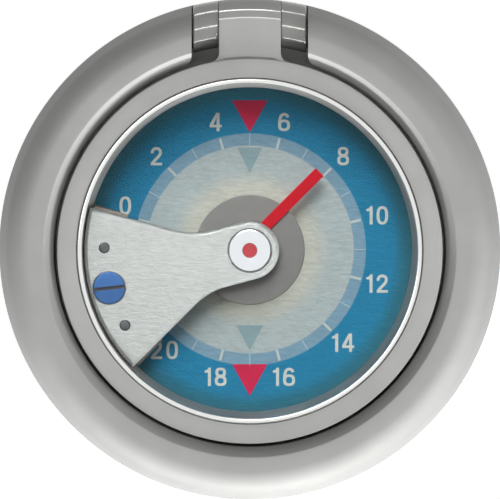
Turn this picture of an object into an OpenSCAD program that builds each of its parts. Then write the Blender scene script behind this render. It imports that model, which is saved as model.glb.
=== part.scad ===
// Hand-held finder compass: an open locator ring with a round compass capsule
// hinged to it at twelve o'clock. Millimetres. The origin is the ring's centre on
// the plane that it rests on, +Z is up through the dial and +Y points to the hinge.

/* [Capsule] */
// Radius of the dial plate
dial_r = 20.4; // [19.6:0.1:22]
// Thickness of the dial plate
dial_t = 0.4; // [0.3:0.05:0.6]
// Thickness of the main plate that carries the movement
plate_t = 1; // [0.8:0.1:1.4]
// Thickness of the screwed-in back cover
cover_t = 1.2; // [1:0.1:1.6]
// Thickness of the flat seal between the back cover and the main plate
seal_t = 0.5; // [0.3:0.1:0.8]
// Width of the flat seal
seal_w = 1; // [0.6:0.1:1.6]
// Width of the sloping flange ring where it stands on the dial
rehaut_w = 1.05; // [0.7:0.05:1.3]
// Width of the ledge in the case that the flange ring and the glass press on
ledge_w = 0.4; // [0.3:0.05:0.45]
// Thickness of that ledge
ledge_t = 0.5; // [0.4:0.1:0.8]
// Step from the ledge's edge out to the glass seat
glass_step = 0.6; // [0.5:0.05:0.9]
// Thickness of the glass
glass_t = 1.2; // [0.9:0.1:1.6]
// Thickness of the gasket under the glass
gasket_t = 0.2; // [0.15:0.05:0.4]
// Width of the polished bead that holds the glass
bezel_w = 0.6; // [0.5:0.05:0.8]
// Depth of the bead below the case's face
bezel_depth = 0.7; // [0.5:0.1:1]
// Height of the bead above the case's face
bezel_proud = 0.25; // [0.1:0.05:0.35]
// Width of the case's flat face
face_w = 2.3; // [2:0.1:3]
// How far the face overhangs the case's body
flange_step = 1; // [0.9:0.05:1.2]
// Thickness of that overhang
flange_t = 1.15; // [0.9:0.05:1.2]
// Chamfer on the overhang's edges
edge_chamfer = 0.15; // [0.1:0.05:0.3]
// Chamfer round the bottom of the case's body
base_chamfer = 0.8; // [0.4:0.1:1]
// Radius of the wrench sockets in the back cover
socket_r = 0.9; // [0.6:0.1:1.2]
// Depth of the wrench sockets
socket_depth = 0.6; // [0.4:0.1:0.8]
// Number of wrench sockets
socket_count = 6; // [4:1:8]

/* [Locator ring] */
// Gap round the closed capsule
case_gap = 0.4; // [0.35:0.05:0.6]
// Width of the chamfer that leads into the ring
lead_in_w = 1.2; // [0.8:0.1:1.5]
// Height of that chamfer
lead_in_h = 1.7; // [1.2:0.1:2.2]
// Width of the ring's flat crown
crown_w = 1.7; // [1.4:0.1:2.2]
// Width of the sloping flank outside the crown
flank_w = 3.7; // [3.4:0.1:4.1]
// Height of the crown above the capsule's face
crown_proud = 0.5; // [0.4:0.05:0.6]
// Rounding between the crown and the flank
crown_round = 3; // [2.6:0.1:3.2]
// Rounding of the belly, from the flank to the foot
belly_round = 4.6; // [4.4:0.1:5.4]
// Height of the ring's widest line above its foot
belly_h = 4.1; // [3.6:0.1:4.3]
// Width of the foot that the ring stands on
foot_w = 1.15; // [0.9:0.05:1.4]
// How far the finder plate lies above the foot
foot_recess = 0.2; // [0.1:0.05:0.4]
// Thickness of the finder plate
finder_t = 1.2; // [1:0.1:1.5]
// Radius of the round opening for the fingertip
finder_hole_r = 11; // [9:0.5:14]
// Gap between the finder plate and the closed capsule
rest_gap = 0.2; // [0.1:0.05:0.4]
// Number of screws that hold the finder plate
finder_screw_count = 4; // [3:1:6]
// Radius of the finder screws' shanks
finder_screw_r = 0.7; // [0.6:0.05:0.8]
// Radius of their countersunk heads
finder_head_r = 1.3; // [1.1:0.05:1.4]
// Height of those heads
finder_head_h = 0.6; // [0.4:0.05:0.8]
// Depth of the finder screws in the ring
finder_screw_bite = 2.2; // [1.5:0.1:3]

/* [Hinge] */
// Width of the notch in the ring
notch_w = 13.9; // [13:0.1:15]
// Rounding of the notch's inner corners
notch_round = 1.2; // [0.8:0.1:1.6]
// Width of the tab on the capsule
tab_w = 7.4; // [6.6:0.1:8.4]
// Fillets where the tab leaves the case
tab_fillet = 0.9; // [0.5:0.1:1.2]
// Radius of the barrels beside the tab
barrel_r = 2.75; // [2.5:0.05:2.9]
// Distance from the ring's outside to the hinge axis
hinge_inset = 4; // [3.7:0.05:4.2]
// How far the tab's top lies below the capsule's face
tab_drop = 0.35; // [0.2:0.05:0.5]
// How far the tab's top stands above the barrels
tab_proud = 0.25; // [0.15:0.05:0.35]
// Distance from the ring's outside to the tab's upper edge
tab_edge_w = 1.3; // [1.1:0.05:1.6]
// Width of the step along the tab's upper edge
tab_step_w = 0.75; // [0.5:0.05:1]
// Drop of that step
tab_step_h = 0.15; // [0.1:0.05:0.2]
// Depth of the tab's web below the hinge axis
web_drop = 0.9; // [0.7:0.1:1.2]
// Radius of the hinge pin
pin_r = 0.75; // [0.6:0.05:0.85]
// Length of the pin's seat in each side of the notch
pin_seat = 2.45; // [2:0.05:3]
// Radius of the washers beside the barrels
washer_r = 1.9; // [1.5:0.1:2.1]
// Thickness of those washers
washer_t = 0.15; // [0.1:0.01:0.18]
// Gap between each barrel and its side of the notch
barrel_gap = 0.2; // [0.2:0.05:0.3]
// Gap between the turning hinge and the notch's floor
swing_gap = 0.15; // [0.1:0.05:0.3]

/* [Bridge] */
// Thickness of the bridge
bridge_t = 1; // [0.8:0.1:1.3]
// Direction of the bridge, degrees anticlockwise from +X
bridge_angle = 195; // [0:15:345]
// Gap between the bridge's end and the sloping flange ring
bridge_edge_gap = 0.38; // [0.2:0.02:0.6]
// Half of the angle that its outer end spans, degrees
bridge_half_angle = 30; // [26:1:32]
// Radius of the bridge's hub and half of its arm's width
hub_r = 3.5; // [3.2:0.1:4]
// Radius of the concave fillets between the arm and the outer end
arm_fillet = 8; // [6:0.5:9]
// Bevel along the top edge
bridge_bevel = 0.4; // [0.2:0.05:0.6]
// Radial depth of the foot block under the bridge
foot_depth = 4.1; // [3.6:0.1:4.6]
// Gap between the foot block and the flange ring
foot_edge_gap = 0.15; // [0.1:0.05:0.3]
// Extra half angle of the foot block, degrees
foot_extra_angle = 1; // [0:0.5:2]
// Distance of the bridge's screw from the foot block's outer edge
screw_inset = 1.85; // [1.7:0.05:2.2]
// Radius of the bridge screw's shank
screw_r = 1; // [0.8:0.05:1.1]
// Radius of the bridge screw's head
screw_head_r = 1.9; // [1.6:0.05:2]
// Thickness of that head
screw_head_t = 0.7; // [0.5:0.05:0.9]
// How deep the head sits in the bridge
screw_sink = 0.55; // [0.4:0.05:0.6]
// Width of its slot
screw_slot_w = 0.4; // [0.3:0.05:0.5]
// Depth of its slot
screw_slot_d = 0.35; // [0.2:0.05:0.4]
// Direction of the slot, degrees
screw_slot_angle = 6; // [0:1:90]
// Angle between the screw and each steady pin, seen from the centre
steady_angle = 16; // [14:1:20]
// Radius of the steady pins
steady_r = 0.6; // [0.5:0.05:0.7]
// Radius of the polished jewel setting
setting_r = 2.55; // [2.2:0.05:2.8]
// Height of the setting above the bridge
setting_proud = 0.1; // [0.05:0.05:0.2]
// Width of the ledge that carries the setting
setting_ledge = 0.4; // [0.3:0.05:0.6]
// Thickness of that ledge
setting_ledge_t = 0.25; // [0.2:0.05:0.4]
// Radius of the jewels
jewel_r = 0.85; // [0.7:0.05:1]

/* [Needle] */
// Radius of the grey magnet disc
disc_r = 6.57; // [5.5:0.01:7.5]
// Thickness of the magnet disc
disc_t = 0.9; // [0.8:0.05:1.1]
// Thickness of its cap
cap_t = 0.3; // [0.2:0.05:0.4]
// Chamfer round the cap
cap_chamfer = 0.12; // [0.05:0.01:0.15]
// Width of the pointer
pointer_w = 1.35; // [1:0.05:1.8]
// Gap between the pointer's tip and the foot block
pointer_tip_gap = 2.65; // [1:0.05:4]
// Thickness of the pointer
pointer_t = 0.2; // [0.15:0.05:0.3]
// Direction of the pointer, degrees anticlockwise from +X
pointer_angle = 45; // [0:5:355]
// Radius of the pointer's root
root_r = 1.4; // [1.2:0.05:1.8]
// Free space below and above the needle
needle_gap = 0.4; // [0.35:0.05:0.6]
// Radius of the staff
staff_r = 0.4; // [0.35:0.01:0.5]
// Radius of its pivots
pivot_r = 0.25; // [0.2:0.01:0.3]
// Free play of each pivot in its jewel
pivot_play = 0.05; // [0.03:0.01:0.08]
// Depth of the pivot holes in the jewels
pivot_depth = 0.4; // [0.3:0.05:0.45]
// Radius of the collet that holds the pointer
collet_r = 1; // [0.8:0.05:1.2]
// Thickness of the collet
collet_t = 0.25; // [0.2:0.01:0.3]
// Length of the bar magnets
magnet_l = 8; // [6:0.5:9]
// Width of the bar magnets
magnet_w = 1; // [0.8:0.1:1.4]
// Height of the bar magnets
magnet_h = 0.6; // [0.4:0.05:0.7]
// Distance of each magnet from the staff
magnet_offset = 2.6; // [2:0.1:3.2]

/* [Fits] */
// Gap between pieces that are seated in each other
fit_gap = 0.05; // [0.02:0.01:0.07]
// Radial play of the hinge on its pin
run_gap = 0.05; // [0.02:0.01:0.08]
// Gap between the capsule's face and the ring's lip at full opening
stop_gap = 0.05; // [0.02:0.01:0.1]

/* [Hidden] */
$fn = 96;
// Overrun of cuts, and how far rounds cross the lines that they meet
over = 0.5;
seam = 0.01;

// Radii from the dial outwards
cavity_r = dial_r + 2 * fit_gap;
ledge_r = cavity_r - ledge_w;
window_r = ledge_r + glass_step;
flange_r = window_r + face_w;
body_r = flange_r - flange_step;
bore_r = flange_r + case_gap;
crown_in_r = bore_r + lead_in_w;
crown_out_r = crown_in_r + crown_w;
ring_r = crown_out_r + flank_w;
rehaut_in_r = cavity_r - fit_gap - rehaut_w;
bezel_out_r = window_r - fit_gap;
foot_reach = rehaut_in_r - foot_edge_gap;
foot_in = foot_reach - foot_depth;
screw_place_r = foot_reach - screw_inset;
pointer_reach = foot_in - pointer_tip_gap;
setting_hole_r = setting_r + fit_gap;

// Heights from the foot upwards
finder_z = foot_recess;
seat_z = finder_z + finder_t;
case_z = seat_z + rest_gap;
seal_z = case_z + cover_t;
plate_z = seal_z + seal_t;
dial_z = plate_z + plate_t;
dial_top = dial_z + dial_t;
disc_z = dial_top + needle_gap;
cap_z = disc_z + disc_t;
pointer_z = cap_z + cap_t;
collet_z = pointer_z + pointer_t;
bridge_z = collet_z + needle_gap;
bridge_top = bridge_z + bridge_t;
ledge_top = bridge_top + ledge_t;
glass_z = ledge_top + gasket_t;
glass_top = glass_z + glass_t;
case_top = glass_top + bezel_depth;
flange_z = case_top - flange_t;
ring_h = case_top + crown_proud;
setting_z = bridge_z + setting_ledge_t;

// Reach of the bridge, to the flange ring's slope at the bridge's lower face
rehaut_slope = (ledge_r - rehaut_in_r) / (bridge_top - dial_top);
bridge_reach = rehaut_in_r + rehaut_slope * (bridge_z - dial_top) - bridge_edge_gap;

// Hinge axis, along X
notch_half = notch_w / 2;
tab_half = tab_w / 2;
barrel_end = notch_half - barrel_gap;
hinge_y = ring_r - hinge_inset;
tab_z = case_top - tab_drop;
hinge_z = tab_z - tab_proud - barrel_r;
barrel_c_r = ring_r - barrel_r;
swing_r = hinge_inset + swing_gap;
notch_floor = hinge_z - swing_r;
lip_z = 2 * hinge_z - case_top - stop_gap;
lip_y = 2 * hinge_y - flange_r - stop_gap - fit_gap;

// Ring's outside: crown rounding, belly, and the straight flank that touches both
belly_c_r = ring_r - belly_round;
rounds_dr = crown_out_r - belly_c_r;
rounds_dz = ring_h - crown_round - belly_h;
flank_lean = atan2(rounds_dz, rounds_dr)
    - acos((belly_round - crown_round) / norm([rounds_dr, rounds_dz]));
crown_end_r = crown_out_r + crown_round * cos(flank_lean);
crown_end_z = ring_h - crown_round + crown_round * sin(flank_lean);
belly_start_r = belly_c_r + belly_round * cos(flank_lean);
belly_start_z = belly_h + belly_round * sin(flank_lean);
foot_out_r = belly_c_r + sqrt(belly_round * belly_round - belly_h * belly_h);
foot_in_r = foot_out_r - foot_w;

// Tab's outer edge: an arc from the step down to the hinge's height
tab_step_r = ring_r - tab_edge_w;
tab_step_z = tab_z - 2 * tab_step_h;
tab_rise = tab_step_z - hinge_z;
tab_round = (tab_edge_w * tab_edge_w + tab_rise * tab_rise) / (2 * tab_edge_w);

// Fillet between the bridge's arm and its outer end, in the bridge's own frame
fillet_cut_r = arm_fillet + seam;
fillet_y = hub_r + arm_fillet;
fillet_x = (fillet_y * cos(bridge_half_angle) - arm_fillet) / sin(bridge_half_angle);
end_x = fillet_x + arm_fillet * sin(bridge_half_angle);
end_y = fillet_y - arm_fillet * cos(bridge_half_angle);
foot_half_angle = bridge_half_angle + foot_extra_angle;

// How deep the screw and the steady pins enter the main plate
plate_bite = 0.7 * plate_t;

// Disc with a round hole
module washer(r_out, r_in, h) {
    difference() {
        cylinder(r = r_out, h = h);
        translate([0, 0, -over]) cylinder(r = r_in, h = h + 2 * over);
    }
}

// Cylinder along X through the hinge axis
module hinge_bar(r, x0, x1) {
    translate([x0, hinge_y, hinge_z]) rotate([0, 90, 0]) cylinder(r = r, h = x1 - x0);
}

// Space between two planes across X
module slab(x0, x1) {
    translate([x0, 0, -over]) cube([x1 - x0, ring_r + over, ring_h + 2 * over]);
}

module at_ring_screws() {
    for (i = [0 : finder_screw_count - 1])
        rotate((i + 0.5) * 360 / finder_screw_count)
            translate([(bore_r + foot_in_r) / 2, 0, 0]) children();
}

module ring_profile() {
    foot_mid_r = foot_in_r + foot_w / 2;
    inward = seam * [cos(flank_lean), sin(flank_lean)];
    polygon([[bore_r, seat_z], [foot_in_r, seat_z], [foot_in_r, 0], [foot_mid_r, 0],
             [foot_mid_r, belly_h], [belly_start_r, belly_start_z] - inward,
             [crown_end_r, crown_end_z] - inward, [crown_out_r, ring_h], [crown_in_r, ring_h],
             [bore_r, ring_h - lead_in_h]]);
    translate([crown_out_r, ring_h - crown_round]) circle(r = crown_round);
    intersection() {
        translate([foot_in_r, 0]) square([ring_r - foot_in_r + over, ring_h]);
        translate([belly_c_r, belly_h]) circle(r = belly_round);
    }
}

// Plan of the notch, with its inner corners rounded into the bore
module notch_plan(y_end) {
    corner_x = notch_half + notch_round - seam;
    corner_y = sqrt(pow(bore_r + notch_round - seam, 2) - pow(corner_x, 2));
    blend = (bore_r - over) / (bore_r + notch_round);
    translate([-notch_half, body_r - flange_step]) square([notch_w, y_end - body_r + flange_step]);
    for (side = [0, 1]) mirror([side, 0]) difference() {
        polygon([[0, corner_y], [corner_x, corner_y], [corner_x * blend, corner_y * blend],
                 [0, corner_y * blend]]);
        translate([corner_x, corner_y]) circle(r = notch_round);
    }
}

module locator_ring() {
    color("#a3a3a1") difference() {
        rotate_extrude() ring_profile();
        translate([0, 0, notch_floor]) linear_extrude(ring_h) notch_plan(lip_y);
        translate([0, 0, lip_z]) linear_extrude(ring_h) notch_plan(ring_r + over);
        for (side = [0, 1]) mirror([side, 0, 0])
            hinge_bar(pin_r + fit_gap, notch_half - over, notch_half + pin_seat + fit_gap);
        at_ring_screws() translate([0, 0, seat_z - over])
            cylinder(r = finder_screw_r + fit_gap, h = finder_screw_bite + over + fit_gap);
    }
}

module finder_plate() {
    color("#9c9c9a") difference() {
        translate([0, 0, finder_z]) cylinder(r = foot_in_r - fit_gap, h = finder_t);
        translate([0, 0, finder_z - over]) cylinder(r = finder_hole_r, h = finder_t + 2 * over);
        at_ring_screws() {
            translate([0, 0, finder_z - over])
                cylinder(r = finder_screw_r + fit_gap, h = finder_t + 2 * over);
            translate([0, 0, finder_z - fit_gap])
                cylinder(r1 = finder_head_r + 2 * fit_gap, r2 = finder_screw_r + fit_gap,
                         h = finder_head_h + fit_gap);
        }
    }
}

module finder_screws() {
    color("#c9c9c7") at_ring_screws() difference() {
        union() {
            translate([0, 0, finder_z])
                cylinder(r1 = finder_head_r, r2 = finder_screw_r, h = finder_head_h);
            translate([0, 0, finder_z]) cylinder(r = finder_screw_r, h = finder_t + finder_screw_bite);
        }
        translate([-2 * finder_head_r, -screw_slot_w / 2, finder_z - over])
            cube([4 * finder_head_r, screw_slot_w, over + finder_head_h / 2]);
    }
}

module hinge_pin() {
    color("#bfc3c6") hinge_bar(pin_r, -notch_half - pin_seat, notch_half + pin_seat);
}

module hinge_washers() {
    play = (barrel_gap - washer_t) / 2;
    color("#3a3a3c") for (side = [0, 1]) mirror([side, 0, 0]) difference() {
        hinge_bar(washer_r, barrel_end + play, barrel_end + play + washer_t);
        hinge_bar(pin_r + fit_gap, barrel_end - over, barrel_end + over);
    }
}

module case_profile() {
    polygon([[cavity_r, case_z], [body_r - base_chamfer, case_z], [body_r, case_z + base_chamfer],
             [body_r, flange_z], [flange_r - edge_chamfer, flange_z],
             [flange_r, flange_z + edge_chamfer], [flange_r, case_top - edge_chamfer],
             [flange_r - edge_chamfer, case_top], [window_r, case_top], [window_r, ledge_top],
             [ledge_r, ledge_top], [ledge_r, bridge_top], [cavity_r, bridge_top]]);
}

module tab_profile() {
    root_r = (cavity_r + body_r) / 2;
    step_r = tab_step_r - tab_step_w;
    step_z = tab_z - tab_step_h;
    step_slope = [tab_step_w, -tab_step_h];
    polygon([[root_r, hinge_z - web_drop], [barrel_c_r, hinge_z - web_drop],
             [barrel_c_r, hinge_z], [step_r, step_z] + step_slope / 2, [step_r, step_z],
             [step_r - tab_step_h, tab_z], [root_r, tab_z]]);
    translate([barrel_c_r, hinge_z]) circle(r = barrel_r);
    intersection() {
        polygon([[barrel_c_r, hinge_z], [ring_r + over, hinge_z],
                 [step_r, step_z] + 3 * step_slope, [step_r, step_z]]);
        translate([ring_r - tab_round - seam, hinge_z]) circle(r = tab_round);
    }
}

module case_ring() {
    root_x = tab_half + tab_fillet - seam;
    root_y = sqrt(pow(flange_r + tab_fillet - seam, 2) - pow(root_x, 2));
    blend = (flange_r - over) / (flange_r + tab_fillet);
    color("#b2b2b0") difference() {
        union() {
            rotate_extrude() case_profile();
            intersection() {
                rotate_extrude() tab_profile();
                slab(-tab_half, tab_half);
            }
            translate([0, 0, flange_z]) linear_extrude(tab_z - flange_z)
                for (side = [0, 1]) mirror([side, 0]) difference() {
                    polygon([[0, root_y], [root_x, root_y], [root_x * blend, root_y * blend],
                             [0, root_y * blend]]);
                    translate([root_x, root_y]) circle(r = tab_fillet);
                }
        }
        hinge_bar(pin_r + run_gap, -tab_half - over, tab_half + over);
    }
}

module hinge_barrels() {
    color("#d4d6d8") for (side = [0, 1]) mirror([side, 0, 0]) difference() {
        intersection() {
            rotate_extrude() translate([barrel_c_r, hinge_z]) circle(r = barrel_r);
            slab(tab_half, barrel_end);
        }
        hinge_bar(pin_r + run_gap, tab_half - over, barrel_end + over);
    }
}

module bezel() {
    bead = bezel_w / 2;
    color("#ececea") rotate_extrude() {
        translate([bezel_out_r - bezel_w, glass_top])
            square([bezel_w, bezel_depth + bezel_proud - bead]);
        translate([bezel_out_r - bead, case_top + bezel_proud - bead]) circle(r = bead);
    }
}

module crystal() {
    color([0.9, 0.96, 0.97, 0.25]) translate([0, 0, glass_z])
        cylinder(r = window_r - 2 * fit_gap, h = glass_t);
}

module crystal_gasket() {
    color("#202022") translate([0, 0, ledge_top])
        washer(window_r - fit_gap, ledge_r + fit_gap, gasket_t);
}

module rehaut() {
    color("#8e9290") rotate_extrude()
        polygon([[rehaut_in_r, dial_top], [cavity_r - fit_gap, dial_top],
                 [cavity_r - fit_gap, bridge_top], [ledge_r, bridge_top]]);
}

// Plan of the foot block, in the bridge's frame, grown by a clearance
module foot_plan(grow) {
    tip = grow / sin(foot_half_angle);
    intersection() {
        difference() {
            circle(r = foot_reach + grow);
            circle(r = foot_in - grow);
        }
        polygon([[-tip, 0], [cavity_r, -(cavity_r + tip) * tan(foot_half_angle)],
                 [cavity_r, (cavity_r + tip) * tan(foot_half_angle)]]);
    }
}

module dial() {
    color("#1f7fa6") translate([0, 0, dial_z]) difference() {
        cylinder(r = dial_r, h = dial_t);
        translate([0, 0, -over]) cylinder(r = jewel_r + needle_gap, h = dial_t + 2 * over);
        translate([0, 0, -over]) rotate(bridge_angle) linear_extrude(dial_t + 2 * over)
            foot_plan(fit_gap);
    }
}

module at_screw() {
    rotate(bridge_angle) translate([screw_place_r, 0, 0]) children();
}

module at_steady_pins() {
    for (side = [-1, 1])
        rotate(bridge_angle + side * steady_angle) translate([screw_place_r, 0, 0]) children();
}

// Holes for the bridge's screw and steady pins
module movement_holes() {
    at_screw() translate([0, 0, dial_z - plate_bite])
        cylinder(r = screw_r + fit_gap, h = ring_h);
    at_steady_pins() translate([0, 0, dial_z - plate_bite])
        cylinder(r = steady_r + fit_gap, h = ring_h);
}

module main_plate() {
    color("#b9a36a") difference() {
        translate([0, 0, plate_z]) cylinder(r = cavity_r - fit_gap, h = plate_t);
        translate([0, 0, plate_z - over]) cylinder(r = jewel_r + fit_gap, h = plate_t + 2 * over);
        movement_holes();
    }
}

module back_gasket() {
    color("#242426") translate([0, 0, seal_z])
        washer(cavity_r - fit_gap, cavity_r - fit_gap - seal_w, seal_t);
}

module back_cover() {
    color("#a8a8a6") difference() {
        translate([0, 0, case_z]) cylinder(r = cavity_r - fit_gap, h = cover_t);
        for (i = [0 : socket_count - 1]) rotate(i * 360 / socket_count)
            translate([cavity_r - seal_w - socket_r, 0, case_z - over])
                cylinder(r = socket_r, h = socket_depth + over);
    }
}

module bridge_plan() {
    difference() {
        union() {
            circle(r = hub_r);
            translate([0, -hub_r]) square([end_x, 2 * hub_r]);
            intersection() {
                circle(r = bridge_reach);
                polygon([[0, 0], [cavity_r, -cavity_r * tan(bridge_half_angle)],
                         [cavity_r, cavity_r * tan(bridge_half_angle)]]);
            }
            translate([fillet_x, -end_y]) square([end_x - fillet_x, 2 * end_y]);
        }
        for (side = [-1, 1]) translate([fillet_x, side * fillet_y]) circle(r = fillet_cut_r);
    }
}

// Triangle that takes the bevel off an edge: the edge at the origin, the piece at negative x
module bevel_section() {
    polygon([[-bridge_bevel - over, over], [over, over], [over, -bridge_bevel - over]]);
}

module bevel_cuts() {
    for (side = [0, 1]) mirror([0, side, 0]) {
        translate([0, hub_r, 0]) rotate([90, 0, 90]) linear_extrude(fillet_x) bevel_section();
        rotate(bridge_half_angle) translate([norm([end_x, end_y]), 0, 0])
            rotate([90, 0, 90]) linear_extrude(cavity_r) bevel_section();
        translate([fillet_x, fillet_y, -bridge_bevel - over])
            cylinder(r1 = fillet_cut_r - over, r2 = fillet_cut_r + bridge_bevel + over,
                     h = bridge_bevel + 2 * over);
    }
    intersection() {
        rotate_extrude() translate([hub_r, 0]) bevel_section();
        translate([-2 * hub_r, -2 * hub_r, -hub_r]) cube([2 * hub_r, 4 * hub_r, 2 * hub_r]);
    }
    rotate_extrude() translate([bridge_reach, 0]) bevel_section();
}

module bridge() {
    color("#c9cdcc") difference() {
        rotate(bridge_angle) difference() {
            translate([0, 0, bridge_z]) linear_extrude(bridge_t) bridge_plan();
            translate([0, 0, bridge_top]) bevel_cuts();
        }
        translate([0, 0, setting_z]) cylinder(r = setting_hole_r, h = bridge_t);
        translate([0, 0, bridge_z - over])
            cylinder(r = setting_hole_r - setting_ledge, h = bridge_t);
        at_screw() translate([0, 0, bridge_top - screw_sink])
            cylinder(r = screw_head_r + fit_gap, h = screw_sink + over);
        movement_holes();
    }
}

module bridge_foot() {
    color("#8d7f74") difference() {
        translate([0, 0, dial_z]) rotate(bridge_angle) linear_extrude(bridge_z - dial_z)
            foot_plan(0);
        movement_holes();
    }
}

module bridge_screw() {
    head_z = bridge_top - screw_sink;
    bottom = dial_z - plate_bite + fit_gap;
    color("#3f6cab") at_screw() difference() {
        union() {
            translate([0, 0, bottom]) cylinder(r = screw_r, h = head_z - bottom + screw_head_t / 2);
            translate([0, 0, head_z]) cylinder(r = screw_head_r, h = screw_head_t);
        }
        translate([0, 0, head_z + screw_head_t - screw_slot_d])
            rotate(screw_slot_angle - bridge_angle)
                translate([-2 * screw_head_r, -screw_slot_w / 2, 0])
                    cube([4 * screw_head_r, screw_slot_w, screw_slot_d + over]);
    }
}

module steady_pins() {
    bottom = dial_z - plate_bite + fit_gap;
    color("#4a4c4e") at_steady_pins() translate([0, 0, bottom])
        cylinder(r = steady_r, h = bridge_top - bottom);
}

module jewel_setting() {
    color("#f0f0ee") translate([0, 0, setting_z])
        washer(setting_r, jewel_r + fit_gap, bridge_top + setting_proud - setting_z);
}

// Jewel with a blind hole for a pivot in its lower face
module jewel(h) {
    difference() {
        cylinder(r = jewel_r, h = h);
        translate([0, 0, -over]) cylinder(r = pivot_r + pivot_play, h = pivot_depth + over);
    }
}

module upper_jewel() {
    color("#c8102e") translate([0, 0, setting_z]) jewel(bridge_top - setting_z);
}

module lower_jewel() {
    color("#c8102e") translate([0, 0, dial_z]) mirror([0, 0, 1]) jewel(plate_t);
}

module needle_staff() {
    low = dial_z - pivot_depth + pivot_play;
    high = setting_z + pivot_depth - pivot_play;
    color("#9aa0a4") {
        translate([0, 0, low]) cylinder(r = pivot_r, h = high - low);
        translate([0, 0, dial_top]) cylinder(r = staff_r, h = collet_z + collet_t - dial_top);
    }
}

module at_magnets() {
    for (side = [-1, 1]) rotate(pointer_angle)
        translate([0, side * magnet_offset, cap_z - fit_gap - magnet_h]) children();
}

module needle_disc() {
    color("#7e7d7b") difference() {
        translate([0, 0, disc_z]) cylinder(r = disc_r, h = disc_t);
        translate([0, 0, disc_z - over]) cylinder(r = staff_r + fit_gap, h = disc_t + 2 * over);
        at_magnets() translate([-magnet_l / 2 - fit_gap, -magnet_w / 2 - fit_gap, 0])
            cube([magnet_l + 2 * fit_gap, magnet_w + 2 * fit_gap, magnet_h + over]);
    }
}

module disc_cap() {
    color("#838280") translate([0, 0, cap_z]) difference() {
        union() {
            cylinder(r = disc_r, h = cap_t - cap_chamfer);
            translate([0, 0, cap_t - cap_chamfer])
                cylinder(r1 = disc_r, r2 = disc_r - cap_chamfer, h = cap_chamfer);
        }
        translate([0, 0, -over]) cylinder(r = staff_r + fit_gap, h = cap_t + 2 * over);
    }
}

module needle_magnets() {
    color("#6e6e72") at_magnets() translate([-magnet_l / 2, -magnet_w / 2, 0])
        cube([magnet_l, magnet_w, magnet_h]);
}

module pointer() {
    color("#c8001e") translate([0, 0, pointer_z]) rotate(pointer_angle) difference() {
        union() {
            cylinder(r = root_r, h = pointer_t);
            cube([pointer_reach, pointer_w, pointer_t]);
        }
        translate([0, 0, -over]) cylinder(r = staff_r + fit_gap, h = pointer_t + 2 * over);
    }
}

module needle_collet() {
    color("#b8bcbf") translate([0, 0, collet_z]) washer(collet_r, staff_r + fit_gap, collet_t);
}

locator_ring();
finder_plate();
finder_screws();
hinge_pin();
hinge_washers();
case_ring();
hinge_barrels();
bezel();
crystal();
crystal_gasket();
rehaut();
dial();
main_plate();
back_gasket();
back_cover();
bridge();
bridge_foot();
bridge_screw();
steady_pins();
jewel_setting();
upper_jewel();
lower_jewel();
needle_staff();
needle_disc();
disc_cap();
needle_magnets();
pointer();
needle_collet();
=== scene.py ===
# Finder compass, seen from above with its capsule folded down into the ring.
# Sizes below are millimetres in the part's own frame; newPiece turns them into metres.
import math

import bmesh
import bpy
from mathutils import Matrix, Vector


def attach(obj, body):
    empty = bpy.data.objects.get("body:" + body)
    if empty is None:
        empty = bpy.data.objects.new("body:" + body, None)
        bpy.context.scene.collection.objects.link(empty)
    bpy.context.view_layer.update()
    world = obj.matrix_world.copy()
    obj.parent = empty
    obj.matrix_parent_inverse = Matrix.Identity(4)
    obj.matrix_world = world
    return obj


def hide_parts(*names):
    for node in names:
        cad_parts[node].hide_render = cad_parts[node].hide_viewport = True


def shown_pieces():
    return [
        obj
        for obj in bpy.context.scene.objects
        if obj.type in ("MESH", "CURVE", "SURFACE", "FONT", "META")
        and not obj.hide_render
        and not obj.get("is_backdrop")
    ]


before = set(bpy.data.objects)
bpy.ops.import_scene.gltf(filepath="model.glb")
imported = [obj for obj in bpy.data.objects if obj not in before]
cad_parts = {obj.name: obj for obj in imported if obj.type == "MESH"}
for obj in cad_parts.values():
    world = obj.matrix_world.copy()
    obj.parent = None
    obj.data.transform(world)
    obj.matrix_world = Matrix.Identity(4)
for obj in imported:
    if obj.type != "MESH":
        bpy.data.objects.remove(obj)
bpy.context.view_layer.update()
print("frame loaded:", len(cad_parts), "CAD nodes")

mm = 0.001
fullTurn = 2 * math.pi


def linearColour(hexColour):
    parts = []
    for i in (1, 3, 5):
        c = int(hexColour[i:i + 2], 16) / 255
        parts.append(c / 12.92 if c <= 0.04045 else ((c + 0.055) / 1.055) ** 2.4)
    return (parts[0], parts[1], parts[2], 1.0)


def tidyMesh(obj, sharpAngle=32):
    bm = bmesh.new()
    bm.from_mesh(obj.data)
    bmesh.ops.remove_doubles(bm, verts=bm.verts, dist=0.0004 * mm)
    bmesh.ops.recalc_face_normals(bm, faces=bm.faces)
    bm.to_mesh(obj.data)
    bm.free()
    obj.data.shade_smooth()
    obj.data.set_sharp_from_angle(angle=math.radians(sharpAngle))


def newPiece(name, verts, faces, material=None, sharpAngle=32):
    mesh = bpy.data.meshes.new(name)
    mesh.from_pydata([Vector(v) * mm for v in verts], [], faces)
    obj = bpy.data.objects.new(name, mesh)
    bpy.context.scene.collection.objects.link(obj)
    if material is not None:
        mesh.materials.append(material)
    tidyMesh(obj, sharpAngle)
    return obj


def bakeShape(obj, sharpAngle=32):
    graph = bpy.context.evaluated_depsgraph_get()
    made = bpy.data.meshes.new_from_object(obj.evaluated_get(graph))
    old = obj.data
    obj.modifiers.clear()
    obj.data = made
    made.name = obj.name
    if old.users == 0:
        bpy.data.meshes.remove(old)
    tidyMesh(obj, sharpAngle)


def carve(obj, tools, operation="DIFFERENCE", sharpAngle=32):
    for tool in tools:
        modifier = obj.modifiers.new("carve", "BOOLEAN")
        modifier.operation = operation
        modifier.solver = "EXACT"
        modifier.object = tool
    bakeShape(obj, sharpAngle)
    for tool in tools:
        bpy.data.objects.remove(tool)


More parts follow.
